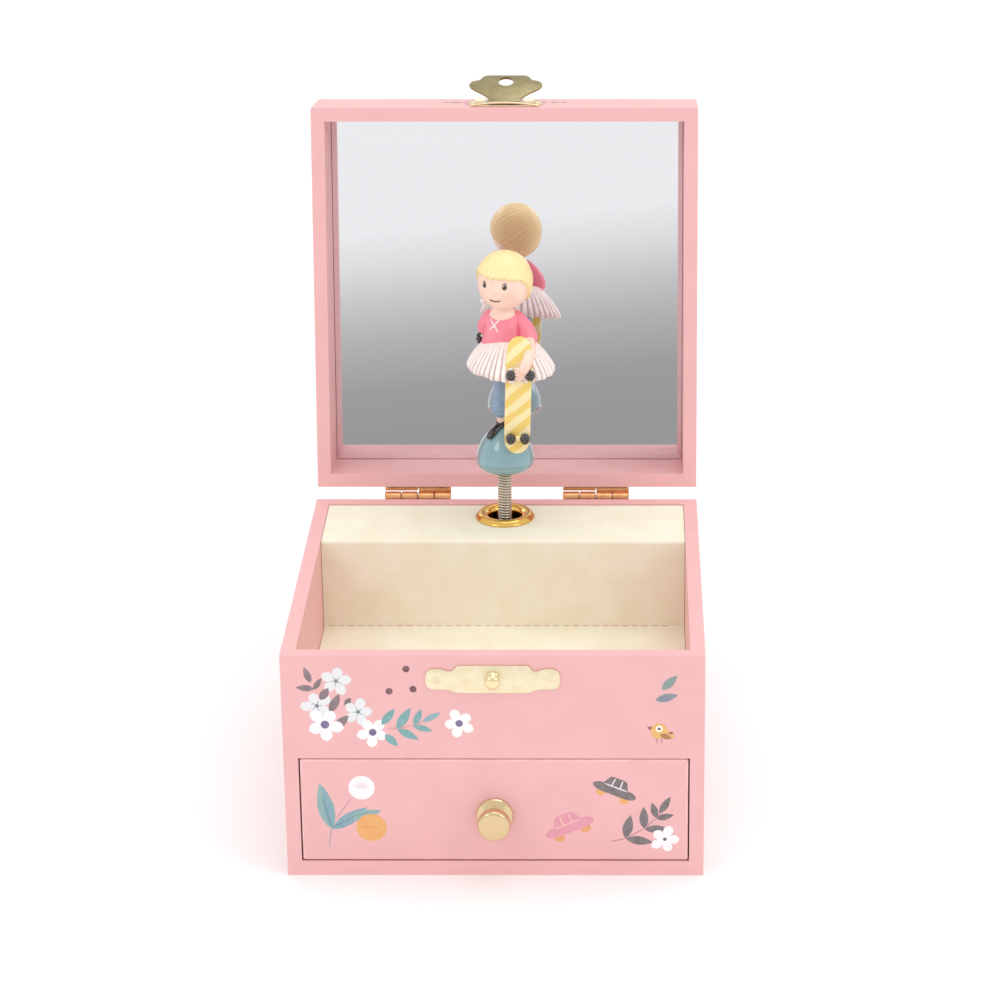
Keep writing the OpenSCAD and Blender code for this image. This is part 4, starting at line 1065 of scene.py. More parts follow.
WIRE = 0.37
coil_r = spring_high.x - WIRE - 0.005
WIRE_PITCH = 0.86
turns = (spring_high.z - spring_low.z - 2 * WIRE) / WIRE_PITCH
coil = grown(COIL, bpy.data.meshes.new("start"), mean_radius=coil_r, wire_radius=WIRE, pitch=WIRE_PITCH,
             turns=turns, steps_a_turn=22, material=SPRING_STEEL)
coil = shifted(coil, y=SPINDLE.y, z=spring_low.z + WIRE)
spring = make("wound_spring", coil, None, SPRING_STEEL, ["figure_spring"], crease=60)
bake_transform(spring)

dome_mid = (dome_low.x + dome_high.x) / 2
dome_r = (dome_high.x - dome_low.x) / 2
dome_profile = [(0, dome_low.z)] + [(p.x, p.y) for p in curve_points(
    [(2.2, dome_low.z, 0), (5.6, dome_low.z + 0.05, 0), (7.4, dome_low.z + 0.7, 0),
     (dome_r - 0.12, dome_low.z + 2.2, 0), (dome_r, dome_low.z + 3.6, 0),
     (dome_r - 0.45, dome_low.z + 6.0, 0), (6.9, dome_low.z + 8.9, 0), (4.9, dome_low.z + 11.6, 0),
     (2.5, dome_low.z + 13.2, 0)], 5)] + [(0, dome_high.z)]
make("dome_base", shifted(lathe(dome_profile, 96), x=dome_mid, y=SPINDLE.y), "figure", TEAL,
     ["figure_dome"], crease=60)

FACING = -22                           # the doll looks a little to its right
HEAD_R = 7.8
TALL = Matrix.Diagonal((1, 1, 1.07))    # the head is a little taller than wide


def paint_attribute(bm, label, value):
    layer = bm.verts.layers.float.get(label) or bm.verts.layers.float.new(label)
    for v in bm.verts:
        v[layer] = value(v.co)
    return bm


def soft_step(x, low, high):
    t = max(0.0, min(1.0, (x - low) / (high - low)))
    return t * t * (3 - 2 * t)


def on_head(az, el, r=HEAD_R):
    """Point on the head: az degrees from straight ahead towards +X, el degrees up."""
    a, e = math.radians(az), math.radians(el)
    spot = Vector((math.sin(a) * math.cos(e), -math.cos(a) * math.cos(e), math.sin(e))) * r
    return HEAD + TALL @ Matrix.Rotation(math.radians(FACING), 3, "Z") @ spot


def head_angles(co):
    d = Matrix.Rotation(math.radians(-FACING), 3, "Z") @ (co - HEAD).normalized()
    return math.degrees(math.atan2(d.x, -d.y)), math.degrees(math.asin(max(-1, min(1, d.z))))


# the head is a ball, a little full at the cheeks and drawn in to the chin
head = blob(HEAD, HEAD_R, 64)
for v in head.verts:
    az, el = head_angles(v.co)
    out = v.co - HEAD
    cheek = math.exp(-((abs(az) - 38) / 26) ** 2 - ((el + 22) / 18) ** 2)
    chin = math.exp(-(az / 32) ** 2 - ((el + 52) / 16) ** 2)
    v.co = HEAD + TALL @ (out * (1 + 0.035 * cheek + 0.03 * chin))
cheeks = [on_head(s * 36, -15) for s in (-1, 1)]
head = joined(head, blob(on_head(0, -8, HEAD_R + 0.05), (0.75, 0.7, 0.6), 20))
head = paint_attribute(head, "blush", lambda co: 0.62 * max(math.exp(-((co - c).length / 2.1) ** 2)
                                                           for c in cheeks))
neck = lathe([(0, 129.4), (3.9, 129.6), (4.1, 130.6), (3.3, 131.7), (2.5, 132.8), (2.3, 135), (0, 135)], 32)
neck = paint_attribute(shifted(neck, x=0.2, y=SPINDLE.y - 0.9), "blush", lambda co: 0.12)
make("doll_head", joined(head, neck), "figure", SKIN, crease=60)

eyes = []
for s in (-1, 1):
    centre = on_head(s * 24, 3, HEAD_R + 0.02)
    eyes.append(blob(centre, (0.72, 0.28, 0.82), 24, (0, 0, FACING + s * 23)))
smile = [on_head(az, -24 - 5.5 * math.cos(math.radians(az * 4.2)), HEAD_R + 0.22) for az in range(-14, 15, 4)]
smile = limb(smile, [0.1] + [0.16] * (len(smile) - 2) + [0.1], 10)
lashes = [limb([on_head(s * 20, 9.5, HEAD_R + 0.05), on_head(s * 25, 11.0, HEAD_R + 0.08),
                on_head(s * 30, 9.4, HEAD_R + 0.05)], [0.08, 0.13, 0.08], 8) for s in (-1, 1)]
make("doll_eyes", joined(*eyes), "figure", BLACK)
make("doll_smile", joined(smile, *lashes), "figure", LINE)
glints = [blob(on_head(s * 24 - 2.0, 5.4, HEAD_R + 0.26), (0.17, 0.08, 0.17), 12, (0, 0, FACING + s * 23))
          for s in (-1, 1)]

# hair: combed grooves run from a parting over the crown, and the fringe is swept to one side
hair = blob(HEAD, 1.0, 144)
hair_r = HEAD_R + 0.6
part = Matrix.Rotation(math.radians(FACING), 3, "Z") @ Vector((0.55, 0.35, 0.76)).normalized()
side_a = part.orthogonal().normalized()
side_b = part.cross(side_a)
groove_layer = hair.verts.layers.float.new("groove")
for v in hair.verts:
    out = (v.co - HEAD).normalized()
    az, el = head_angles(v.co)
    # line is the hairline's height in degrees: it dips past the temples and again at the nape
    line = 17 + 4 * soft_step(-az, 0, 50) - 5 * soft_step(az, 15, 60)
    line -= 50 * soft_step(abs(az), 58, 112) + 34 * soft_step(abs(az), 112, 150)
    line += 1.2 * math.sin(az * 0.35)
    shown = soft_step(el, line - 2.5, line + 2.5)
    swing = math.atan2(out.dot(side_b), out.dot(side_a)) + 0.35 * out.dot(part)
    wave = swing * 37 + 1.8 * math.sin(el * 0.11 + az * 0.05)
    comb = 0.5 + 0.3 * math.sin(wave) + 0.2 * math.sin(swing * 61)
    comb *= 1 - soft_step(out.dot(part), 0.90, 0.99)
    sweep = math.exp(-((az + 34) / 30) ** 2 - ((el - 34) / 22) ** 2)
    crown = math.exp(-((el - 62) / 34) ** 2)
    r = hair_r + 0.45 * sweep + 0.2 * crown - 0.19 * comb
    roll = math.exp(-((el - line - 5) / 5) ** 2) * 0.22
    v.co = HEAD + TALL @ (out * (HEAD_R - 1.1 + (r + roll - HEAD_R + 1.1) * shown))
    # groove: how deep a point lies in a combed groove, for the painted shade there
    v[groove_layer] = comb * 0.9
make("doll_hair", hair, "figure", HAIR, crease=80)

# torso and sleeves
BODY = Vector((0.1, SPINDLE.y - 0.4, 0))
yaw = Matrix.Rotation(math.radians(FACING), 3, "Z")


def waist_ring(z, rx, ry, dip=0.0, n=56):
    """Ring round the doll's body. dip lowers it in front."""
    ring = []
    for i in range(n):
        a = math.tau * i / n
        spot = Vector((rx * math.cos(a), ry * math.sin(a), 0))
        front = max(0.0, -math.sin(a))
        ring.append(BODY + yaw @ spot + Vector((0, 0, z - dip * front ** 3)))
    return ring


blouse = loft([[BODY + Vector((0, 0, 121.6))], waist_ring(121.3, 4.6, 3.9, 1.0),
               waist_ring(121.0, 6.1, 5.2, 1.6), waist_ring(121.5, 6.5, 5.6, 1.7),
               waist_ring(122.6, 6.2, 5.4, 1.2), waist_ring(124.4, 5.6, 4.9, 0.4),
               waist_ring(126.4, 5.3, 4.7), waist_ring(128.2, 5.4, 4.6), waist_ring(129.6, 5.1, 4.3),
               waist_ring(130.6, 4.5, 3.8, 0.3), waist_ring(131.2, 3.9, 3.4, 0.8),
               waist_ring(131.1, 3.5, 3.0, 1.0), waist_ring(130.5, 3.2, 2.7, 1.0),
               [BODY + Vector((0, 0, 130.2))]])
# painted shade: the blouse darkens from z 123.4 down to its lower edge, where it goes in under the skirt's
# waist
blouse = paint_attribute(blouse, "hollow", lambda co: 0.5 * soft_step(123.4 - co.z, 0, 3))
sleeve_path = curve_points([(4.1, 43.3, 129.4), (5.9, 42.6, 127.6), (7.1, 41.9, 125.4), (7.7, 41.3, 123.4)],
                           4)
radii = [2.0 + 0.75 * soft_step(i, 0, len(sleeve_path)) for i in range(len(sleeve_path))]
left_sleeve = limb(sleeve_path, radii, 28)
right_path = curve_points([(-3.6, 43.8, 129.4), (-4.6, 45.2, 127.4), (-5.2, 47.0, 125.0)], 4)
right_sleeve = limb(right_path, [2.0 + 0.35 * soft_step(i, 0, 8) for i in range(len(right_path))], 28)
# the sleeves take a quarter of the shade colour all over, through the same mask
sleeves = paint_attribute(joined(left_sleeve, right_sleeve), "hollow", lambda co: 0.25)
make("doll_blouse", joined(blouse, sleeves), "figure", CORAL, crease=60)

# arms: one hand holds the board in front, the other is behind the back
forearm = limb(curve_points([(7.7, 40.6, 123.2), (8.2, 36.2, 122.2), (7.7, 32.0, 120.2), (6.4, 30.7, 117.2)],
                            4),
               [1.7] * 4 + [1.65] * 4 + [1.55] * 5, 24)
hand = [blob((5.7, 31.0, 116.3), (1.7, 1.1, 1.8), 28, (0, 12, 6))]
for i in range(4):
    z = 117.5 - 0.93 * i
    hand.append(limb([(6.2, 30.9, z - 0.1), (5.1, 30.3, z), (4.1, 30.9, z + 0.05)],
                     [0.5, 0.52, 0.44], 14))
other = limb([(-5.3, 47.2, 124.6), (-4.6, 49.0, 121.4), (-2.2, 50.4, 119.6)], [1.6, 1.45, 1.3], 20)
arms = paint_attribute(joined(forearm, *hand, other), "blush", lambda co: 0.16)
make("doll_arms", arms, "figure", SKIN, ["figure_doll"], crease=60)

# white laces crossed on the chest, a small bow at the nape, and the eyes' glints
def lace(a, b):
    def spot(u, w):
        return BODY + yaw @ Vector((-0.5 + u, -4.62 + 0.05 * u * u, 127.9 + w))
    return limb([spot(*a), spot((a[0] + b[0]) / 2, (a[1] + b[1]) / 2), spot(*b)], [0.2, 0.27, 0.2], 10)


laces = [lace((-1.5, -1.5), (1.4, 1.8)), lace((-1.2, 1.7), (1.0, -1.9))]
bow_parts = [blob((-5.6, 45.2, 133.6), (1.0, 0.6, 0.75), 20, (0, 30, 20)),
             blob((-4.4, 46.4, 134.0), (1.0, 0.6, 0.75), 20, (0, -30, 40)),
             limb([(-5.0, 45.8, 133.6), (-5.5, 45.6, 132.2), (-5.3, 45.6, 131.2)], [0.4, 0.35, 0.25], 12)]
make("doll_laces", joined(*laces, *bow_parts, *glints), "figure", WHITE, crease=60)


# pleated skirt: pleats open from the waist to the hem, and the hem rolls under
PLEATS = 38
SKIRT_MID = Vector((2.3, SPINDLE.y - 0.4, 0))
rng = random.Random(11)
pleat_at = [0.0]
for k in range(PLEATS):
    pleat_at.append(pleat_at[-1] + rng.uniform(0.7, 1.3))
pleat_at = [math.tau * p / pleat_at[-1] for p in pleat_at]
pleat_fall = [rng.uniform(-0.35, 0.35) for _ in range(PLEATS)]
STEPS = 8


def skirt_ring(r, z, depth, fall=0.0):
    ring = []
    for k in range(PLEATS):
        a0, a1 = pleat_at[k], pleat_at[k + 1]
        for i in range(STEPS):
            t = i / STEPS
            a = a0 + (a1 - a0) * t
            ridge = abs(math.sin(math.pi * t)) ** 0.6
            step = r - depth * (1 - ridge)
            drop = fall * (pleat_fall[k] * ridge)
            lift = -0.07 * step * math.cos(a)
            ring.append((SKIRT_MID + Vector((step * math.cos(a), step * math.sin(a), z + drop + lift)),
                         1 - ridge))
    return ring


skirt_profile = [(5.0, 123.2, 0.05, 0), (6.1, 122.8, 0.15, 0), (7.3, 121.8, 0.35, 0), (8.6, 120.6, 0.5, 0),
                 (9.9, 119.2, 0.62, 0), (11.1, 117.6, 0.72, 0.2), (12.1, 116.1, 0.82, 0.5),
                 (12.8, 114.9, 0.9, 0.8), (13.05, 114.1, 0.9, 1.0), (12.8, 113.5, 0.85, 1.0),
                 (12.1, 113.2, 0.8, 1.0), (11.0, 113.6, 0.7, 0.8), (8.5, 114.6, 0.5, 0.4),
                 (5.0, 115.6, 0.2, 0)]
rows = [skirt_ring(*line) for line in skirt_profile]
skirt = loft([[p for p, _ in row] for row in rows])
# hollow is painted shade in the pleats' valleys, fading in below the waist and full towards the hem
hollow = skirt.verts.layers.float.new("hollow")
depths = [h * (0.35 + 0.65 * soft_step(i, 0, 6)) for i, row in enumerate(rows) for _, h in row]
skirt.verts.ensure_lookup_table()
for i, h in enumerate(depths):
    skirt.verts[i][hollow] = h
make("doll_skirt", skirt, "figure", SKIRT, crease=75)

# legs: flared trousers, ankles and shoes
trousers = []
for x, y in ((-0.9, 43.2), (3.4, 44.3)):
    leg = [(x + 0.5, y + 0.3, 116.0), (x + 0.2, y + 0.1, 110), (x, y, 105), (x, y, 102.4),
           (x, y - 0.1, 100.9)]
    trousers.append(limb(curve_points(leg, 4), [2.35 - 0.35 * soft_step(i, 0, 9) + 0.75 * soft_step(i, 9, 16)
                                               for i in range(17)], 24))
make("doll_trousers", joined(*trousers), "figure", TROUSER, crease=60)
ankles = [limb([(-1.1, 43.4, 101.2), (-0.8, 43.5, 96.2)], 1.15, 20),
          limb([(3.2, 44.3, 101.2), (3.2, 44.2, 95.6)], 1.15, 20)]
make("doll_ankles", paint_attribute(joined(*ankles), "blush", lambda co: 0.2), "figure", SKIN)
SHOE_RADII = [1.15, 1.2, 1.25, 1.3, 1.3, 1.3, 1.3, 1.2, 1.1, 0.95]
shoes = [limb(curve_points([(-0.4, 43.8, 95.6), (-1.8, 42.5, 95.2), (-3.2, 41.0, 94.2), (-4.1, 40.0, 93.3)],
                           3),
              SHOE_RADII, 22, flat=(1, 0.85)),
         limb(curve_points([(3.6, 44.8, 94.7), (3.4, 43.2, 94.6), (3.0, 41.2, 93.9), (2.7, 40.0, 93.2)], 3),
              SHOE_RADII, 22, flat=(1, 0.85)),
         limb([(-1.0, 43.6, 96.3), (-0.6, 43.5, 96.3)], 1.3, 20),
         limb([(3.2, 44.2, 95.6), (3.3, 44.2, 95.6)], 1.3, 20)]
make("doll_shoes", joined(*shoes), "figure", BLACK, crease=60)
satchel = [blob((-6.6, 48.4, 120.2), (1.9, 1.0, 1.1), 32, (0, 50, 20)),
           limb([(-5.2, 47.8, 124.0), (-6.4, 48.2, 123.0), (-7.4, 48.6, 122.0)], 0.5, 12)]
make("doll_satchel", joined(*satchel), "figure", BLACK, crease=60)

# skateboard: deck with kicked ends, and moulded wheels
deck_low, deck_high = box_mm("skateboard")
deck_mid = (deck_low.x + deck_high.x) / 2 + 0.6
deck_len = deck_high.z - deck_low.z
deck_half = (deck_high.x - deck_low.x) / 2
DECK_T = 1.4


outline = []
r = deck_half - 0.05
flat_half = deck_len / 2 - r
for i in range(24):
    a = math.pi * i / 24
    outline.append((r * math.cos(a), flat_half + r * math.sin(a)))
for i in range(10):
    outline.append((-r, flat_half - 2 * flat_half * i / 10))
for i in range(24):
    a = math.pi + math.pi * i / 24
    outline.append((r * math.cos(a), -flat_half + r * math.sin(a)))
for i in range(10):
    outline.append((r, -flat_half + 2 * flat_half * i / 10))
levels = [(0.0, 0.45), (0.0, 0.2), (0.12, 0.06), (0.45, 0.0), (0.95, 0.0), (1.25, 0.1), (DECK_T, 0.35)]


def deck_point(x, z, y, inset):
    k = 1 - inset / deck_half
    kz = 1 - inset / (deck_len / 2)
    x, z = x * k, z * kz
    t = abs(z) / (deck_len / 2)
    taper = 1 - 0.10 * soft_step(t, 0.55, 1.0)
    kick = 1.3 * soft_step(t, 0.62, 1.05)
    lean = math.radians(2.0)
    x = x * taper
    return Vector((deck_mid + x * math.cos(lean) + z * math.sin(lean),
                   deck_low.y + y + kick,
                   (deck_low.z + deck_high.z) / 2 + z * math.cos(lean) - x * math.sin(lean)))


def fill_rings(y, inset_start):
    return [[deck_point(x * s, z * s, y, inset_start) for x, z in outline] for s in (0.4, 0.75)]


deck_rings = [[deck_point(0, 0, 0, 0.45)]] + fill_rings(0, 0.45)
deck_rings += [[deck_point(x, z, y, inset) for x, z in outline] for y, inset in levels]
deck_rings += fill_rings(DECK_T, 0.35)[::-1] + [[deck_point(0, 0, DECK_T, 0.35)]]
make("board_deck", loft(deck_rings), "figure", DECK, ["skateboard"], crease=60)
wheels = []
for z, xs in ((95.7, (2.5, 6.6)), (115.3, (2.8, 8.3))):
    for x in xs:
        wheels.append(blob((x, 31.3, z), (1.5, 1.25, 1.72), 28))
        wheels.append(limb([(x, 31.3, z), (x, 30.0, z)], 0.38, 16))
make("board_wheels", joined(*wheels), "figure", BLACK, ["skateboard_wheels"], crease=60)
trucks = [limb([(2.4, 31.9, 95.7), (5.8, 31.9, 95.7)], 0.75, 16),
          limb([(2.6, 32.0, 115.3), (7.4, 32.0, 115.3)], 0.6, 16)]
make("board_trucks", joined(*trucks), "figure", DECK, crease=60)


# ---- printed motifs ----

LEAF_DARK, TEAL_INK, WHITE_INK, GREY_WHITE = "#7C6C70", "#6FA3A5", "#FBF3F5", "#E6E6E8"
EYE_INK, DOT_INK, MUSTARD, ORANGE = "#6C6088", "#6B3A42", "#E5B15C", "#E8A75C"
CAR_INK, LILAC, BROWN = "#6E6668", "#DF92A4", "#A5713C"
PANE_INK, ROSE_PANE, RUST_INK = "#EFE4E8", "#DD8C96", "#D98E58"
STEM_INK, VEIN_INK, STRING_INK, TUFT_INK = "#C4767F", "#4C7A7E", "#C59AA0", "#EADDE2"
LEAF_HALF = 0.19                        # half a leaf's width, for a leaf of length 1
INK_T = 0.03
INK_PROUD = 0.012                       # height of the stamps' middles over the paper
INK_STEP = 0.0006                       # added for each stamp, so that later ones lie on top


def stamp_outline(kind):
    if kind == "disc":
        return [(math.cos(a), math.sin(a)) for a in (math.tau * i / 22 for i in range(22))]
    if kind == "bar":
        ends = [(0.5 + 0.5 * math.cos(a), 0.5 * math.sin(a))
                for a in (math.pi * i / 6 - math.pi / 2 for i in range(7))]
        return ends + [(-x, -z) for x, z in ends]
    if kind == "cabin":
        return [(-0.62, 0), (0.62, 0), (0.6, 0.25), (0.42, 0.9), (0.3, 1), (-0.3, 1), (-0.42, 0.9),
                (-0.6, 0.25)]
    wide = {"leaf": LEAF_HALF, "petal": 0.3}[kind]
    peak = {"leaf": 0.45, "petal": 0.62}[kind]
    half = []
    for i in range(9):
        t = i / 8
        body = math.sin(math.pi * t ** (math.log(0.5) / math.log(peak)))
        half.append((wide * body ** (0.9 if kind == "leaf" else 0.62), t))
    return half + [(-x, t) for x, t in half[-2:0:-1]]


class Print:
    """Motifs gathered for one flat face, drawn in its own x (right) and z (up), then set in place."""

    def __init__(self):
        self.stamps = {}
        self.layer = 0

    def stamp(self, kind, x, z, turn, wide, tall, colour):
        self.layer += 1
        lift = -INK_PROUD - INK_STEP * self.layer
        self.stamps.setdefault(kind, []).append(
            ((x, lift, z), (0, turn, 0), (wide, 1, tall), ink(colour)))

    def leaf(self, x, z, turn, length, colour, wide=1.0):
        self.stamp("leaf", x, z, turn, length * wide, length, colour)

    def leaf_to(self, x0, z0, x1, z1, wide_mm, colour):
        length = math.hypot(x1 - x0, z1 - z0)
        self.stamp("leaf", x0, z0, math.degrees(math.atan2(x1 - x0, z1 - z0)), wide_mm / (2 * LEAF_HALF),
                   length, colour)

    def dot(self, x, z, r, colour):
        self.stamp("disc", x, z, 0, r, r, colour)

    def line(self, x0, z0, x1, z1, width, colour):
        length = math.hypot(x1 - x0, z1 - z0)
        turn = math.degrees(math.atan2(-(z1 - z0), x1 - x0))
        self.stamp("bar", (x0 + x1) / 2, (z0 + z1) / 2, turn, length / 2, width, colour)

    def flower(self, x, z, r, turn, petals=WHITE_INK, eye=EYE_INK, eye_r=0.24):
        for k in range(5):
            self.stamp("petal", x, z, turn + 72 * k, r * 1.12, r * (1 + 0.07 * math.sin(k * 2.3 + turn)),
                       petals)
        self.dot(x, z, r * eye_r, eye)

    def stemmed(self, x, z, r, turn):
        """A paler flower with a small dark star for its eye."""
        self.flower(x, z, r, turn, GREY_WHITE, "#5E6A74", 0.13)
        for k in range(5):
            self.leaf(x, z, turn + 36 + 72 * k, r * 0.42, "#8A9299", 0.35)

    def sprig(self, x, z, turn, length, pairs, colour, leaf=0.42):
        a = math.radians(turn)
        dx, dz = math.sin(a), math.cos(a)
        self.line(x, z, x + dx * length * 0.85, z + dz * length * 0.85, 0.32, STEM_INK)
        for k in range(pairs):
            t = 0.22 + 0.6 * k / max(1, pairs - 1)
            size = length * leaf * (1 - 0.25 * k / pairs)
            for s in (-1, 1):
                self.leaf(x + dx * length * t, z + dz * length * t, turn + s * 48, size, colour, 1.15)
        self.leaf(x + dx * length * 0.8, z + dz * length * 0.8, turn, length * leaf * 0.8, colour, 1.1)

    def car(self, x, z, turn, size, body, wheel, pane):
        a = math.radians(turn)

        def at(u, w):
            right = u * math.cos(a) + w * math.sin(a)
            up = w * math.cos(a) - u * math.sin(a)
            return x + size * right, z + size * up

        for u in (-0.52, 0.55):
            wx, wz = at(u, -0.24)
            self.dot(wx, wz, size * 0.2, wheel)
        self.stamp("bar", *at(0, 0), turn, size, size * 0.42, body)
        self.stamp("cabin", *at(-0.02, 0.1), turn, size * 0.92, size * 0.5, body)
        self.line(*at(-0.55, 0.17), *at(0.55, 0.17), size * 0.055, pane)
        for u in (-0.2, 0.18):
            self.line(*at(u, 0.17), *at(u * 0.9, 0.56), size * 0.055, pane)

    def bird(self, x, z, r, flip=1):
        for s in (-0.25, 0.3):
            self.line(x + s * r * flip, z - 0.8 * r, x + s * r * flip, z - 1.6 * r, 0.28, "#B5797F")
        self.leaf_to(x + 0.1 * r * flip, z - 0.3 * r, x + 1.9 * r * flip, z - 0.8 * r, r * 1.15, MUSTARD)
        self.leaf_to(x - 0.7 * r * flip, z + 0.2 * r, x - 1.4 * r * flip, z + 0.55 * r, r * 0.42, "#8A4B36")
        self.dot(x, z, r, MUSTARD)
        self.leaf_to(x + 0.1 * r * flip, z - 0.45 * r, x + 1.5 * r * flip, z - 0.95 * r, r * 0.7, BROWN)
        self.leaf_to(x + 1.1 * r * flip, z - 0.3 * r, x + 1.7 * r * flip, z - 0.2 * r, r * 0.3, "#9C4A3C")
        self.dot(x, z + 0.3 * r, r * 0.42, "#FBF3E4")
        self.dot(x, z + 0.3 * r, r * 0.18, "#5B3325")

    def pompon(self, x, z, r):
        self.dot(x, z, r, WHITE_INK)
        for k in range(5):
            self.leaf(x, z - 0.1 * r, -60 + 30 * k, r * 0.75, TUFT_INK, 0.6)

    def finish(self, name, body, place):
        parts = []
        for kind, places in self.stamps.items():
            form = sheet_metal(stamp_outline(kind), INK_T)
            parts.append(set_out(shifted(form, y=INK_T / 2), places, INK))
        make(name, joined(*parts), body, INK, place=place, recalc=False)


SPRAY_DARK = ((-49.3, 58.5, -51.0, 63.1, 1.9), (-48.4, 56.7, -53.4, 57.1, 1.9),
              (-48.6, 56.4, -46.3, 59.9, 1.6), (-46.9, 53.4, -44.5, 56.9, 2.3),
              (-44.4, 49.6, -41.6, 55.2, 2.4), (-40.2, 51.6, -38.6, 54.0, 1.7),
              (-43.4, 44.7, -39.2, 48.8, 2.4))
SPRAY_TEAL = ((-30.4, 45.9, -26.7, 50.8, 2.2), (-26.3, 44.7, -22.4, 51.0, 2.5),
              (-21.5, 45.9, -19.5, 50.6, 1.9), (-19.3, 46.9, -14.2, 49.6, 1.7),
              (-21.9, 45.7, -16.6, 44.1, 1.8), (-26.1, 44.7, -20.4, 41.5, 2.2),
              (-29.6, 43.1, -26.1, 39.6, 2.2))
SPRAY_STEM = ((-28.7, 44.9), (-26.3, 44.9), (-21.7, 45.7), (-19.3, 46.9))


def fascia_flowers(p, flip=1, x0=0.0, z0=0.0):
    """The spray of flowers and leaves, placed as in the upper left of the case's front.

    flip=-1 mirrors it, and x0 and z0 shift it."""
    for xa, za, xb, zb, wide in SPRAY_DARK[:3]:
        p.leaf_to(x0 + flip * xa, z0 + za, x0 + flip * xb, z0 + zb, wide, LEAF_DARK)
    p.stemmed(x0 + flip * -42.4, z0 + 59.0, 4.3, 10)
    p.stemmed(x0 + flip * -47.8, z0 + 51.6, 4.3, -20)
    for xa, za, xb, zb, wide in SPRAY_DARK[3:6]:
        p.leaf_to(x0 + flip * xa, z0 + za, x0 + flip * xb, z0 + zb, wide, LEAF_DARK)
    p.stemmed(x0 + flip * -36.7, z0 + 49.8, 4.2, 15)
    xa, za, xb, zb, wide = SPRAY_DARK[6]
    p.leaf_to(x0 + flip * xa, z0 + za, x0 + flip * xb, z0 + zb, wide, LEAF_DARK)
    p.flower(x0 + flip * -45.8, z0 + 46.0, 5.0, 30)
    p.flower(x0 + flip * -32.9, z0 + 43.7, 4.4, 40)
    for a, b in zip(SPRAY_STEM, SPRAY_STEM[1:]):
        p.line(x0 + flip * a[0], z0 + a[1], x0 + flip * b[0], z0 + b[1], 0.28, "#D98F95")
    for k, (xa, za, xb, zb, wide) in enumerate(SPRAY_TEAL):
        p.leaf_to(x0 + flip * xa, z0 + za, x0 + flip * xb, z0 + zb, wide, ("#86A9B6" if k == 3 else TEAL_INK))


front = Print()
fascia_flowers(front)
front.flower(-9.3, 46.4, 4.3, -23)
for x, z in ((-23.4, 62.6), (-28.1, 56.0), (-21.6, 56.6)):
    front.dot(x, z, 0.95, DOT_INK)
front.leaf_to(45.8, 56.4, 49.9, 60.6, 2.4, "#7F9490")
front.leaf_to(44.1, 53.3, 50.1, 54.9, 2.3, "#7C8794")
front.bird(45.1, 44.1, 2.3)
ON_FRONT = Matrix.Translation((0, -SIDE, 0))
front.finish("case_front_print", "case", ON_FRONT)

SPRIG_STEM = ((30.3, 10.4), (34.3, 11.3), (39.4, 14.3), (43.0, 17.7), (43.9, 19.1))
SPRIG_LEAVES = ((34.4, 11.5, 35.9, 18.6, 2.5), (34.6, 11.3, 42.1, 10.2, 2.3), (39.6, 14.4, 39.4, 21.1, 2.2),
                (39.7, 14.3, 46.1, 14.4, 2.0), (43.0, 17.7, 41.7, 22.4, 1.8), (42.9, 17.5, 47.7, 18.6, 1.7),
                (43.8, 19.1, 46.8, 24.2, 1.8))
bottom = Print()
bottom.line(-45.0, 14.4, -45.9, 8.6, 0.4, "#B5A3A6")
bottom.line(-43.8, 17.1, -39.3, 23.8, 0.35, STRING_INK)
bottom.leaf_to(-44.9, 14.2, -47.9, 28.3, 4.6, "#84AAA9")
bottom.leaf_to(-44.7, 14.2, -47.0, 27.4, 2.5, "#76A0AD")
bottom.leaf_to(-44.9, 14.2, -34.9, 20.9, 3.4, "#76A0AD")
bottom.leaf_to(-40.4, 17.2, -31.1, 19.9, 2.9, "#84AAA9")
bottom.line(-44.9, 14.6, -47.1, 23.3, 0.25, VEIN_INK)
bottom.line(-44.9, 14.6, -38.5, 18.3, 0.25, VEIN_INK)
bottom.line(-38.5, 18.3, -34.5, 19.4, 0.22, VEIN_INK)
bottom.pompon(-36.4, 26.9, 3.6)
bottom.dot(-34.0, 14.7, 4.2, ORANGE)
bottom.line(-36.3, 15.4, -32.7, 14.6, 0.4, "#DD8F4E")
bottom.leaf_to(-37.5, 15.4, -31.5, 14.4, 0.9, "#E39A58")
bottom.car(32.9, 26.0, 23, 6.4, CAR_INK, ORANGE, PANE_INK)
bottom.car(20.6, 14.8, -23, 7.2, LILAC, "#E39A62", "#F0B8A6")
for a, b in zip(SPRIG_STEM, SPRIG_STEM[1:]):
    bottom.line(a[0] + 1.5, a[1], b[0] + 1.5, b[1], 0.3, "#B98187")
for xa, za, xb, zb, wide in SPRIG_LEAVES:
    bottom.leaf_to(xa + 1.5, za, xb + 1.5, zb, wide * 1.12, CAR_INK)
bottom.flower(46.8, 11.2, 4.1, 20, "#F8F3F5", "#59636B", 0.13)
bottom.finish("drawer_print", "drawer", ON_FRONT)


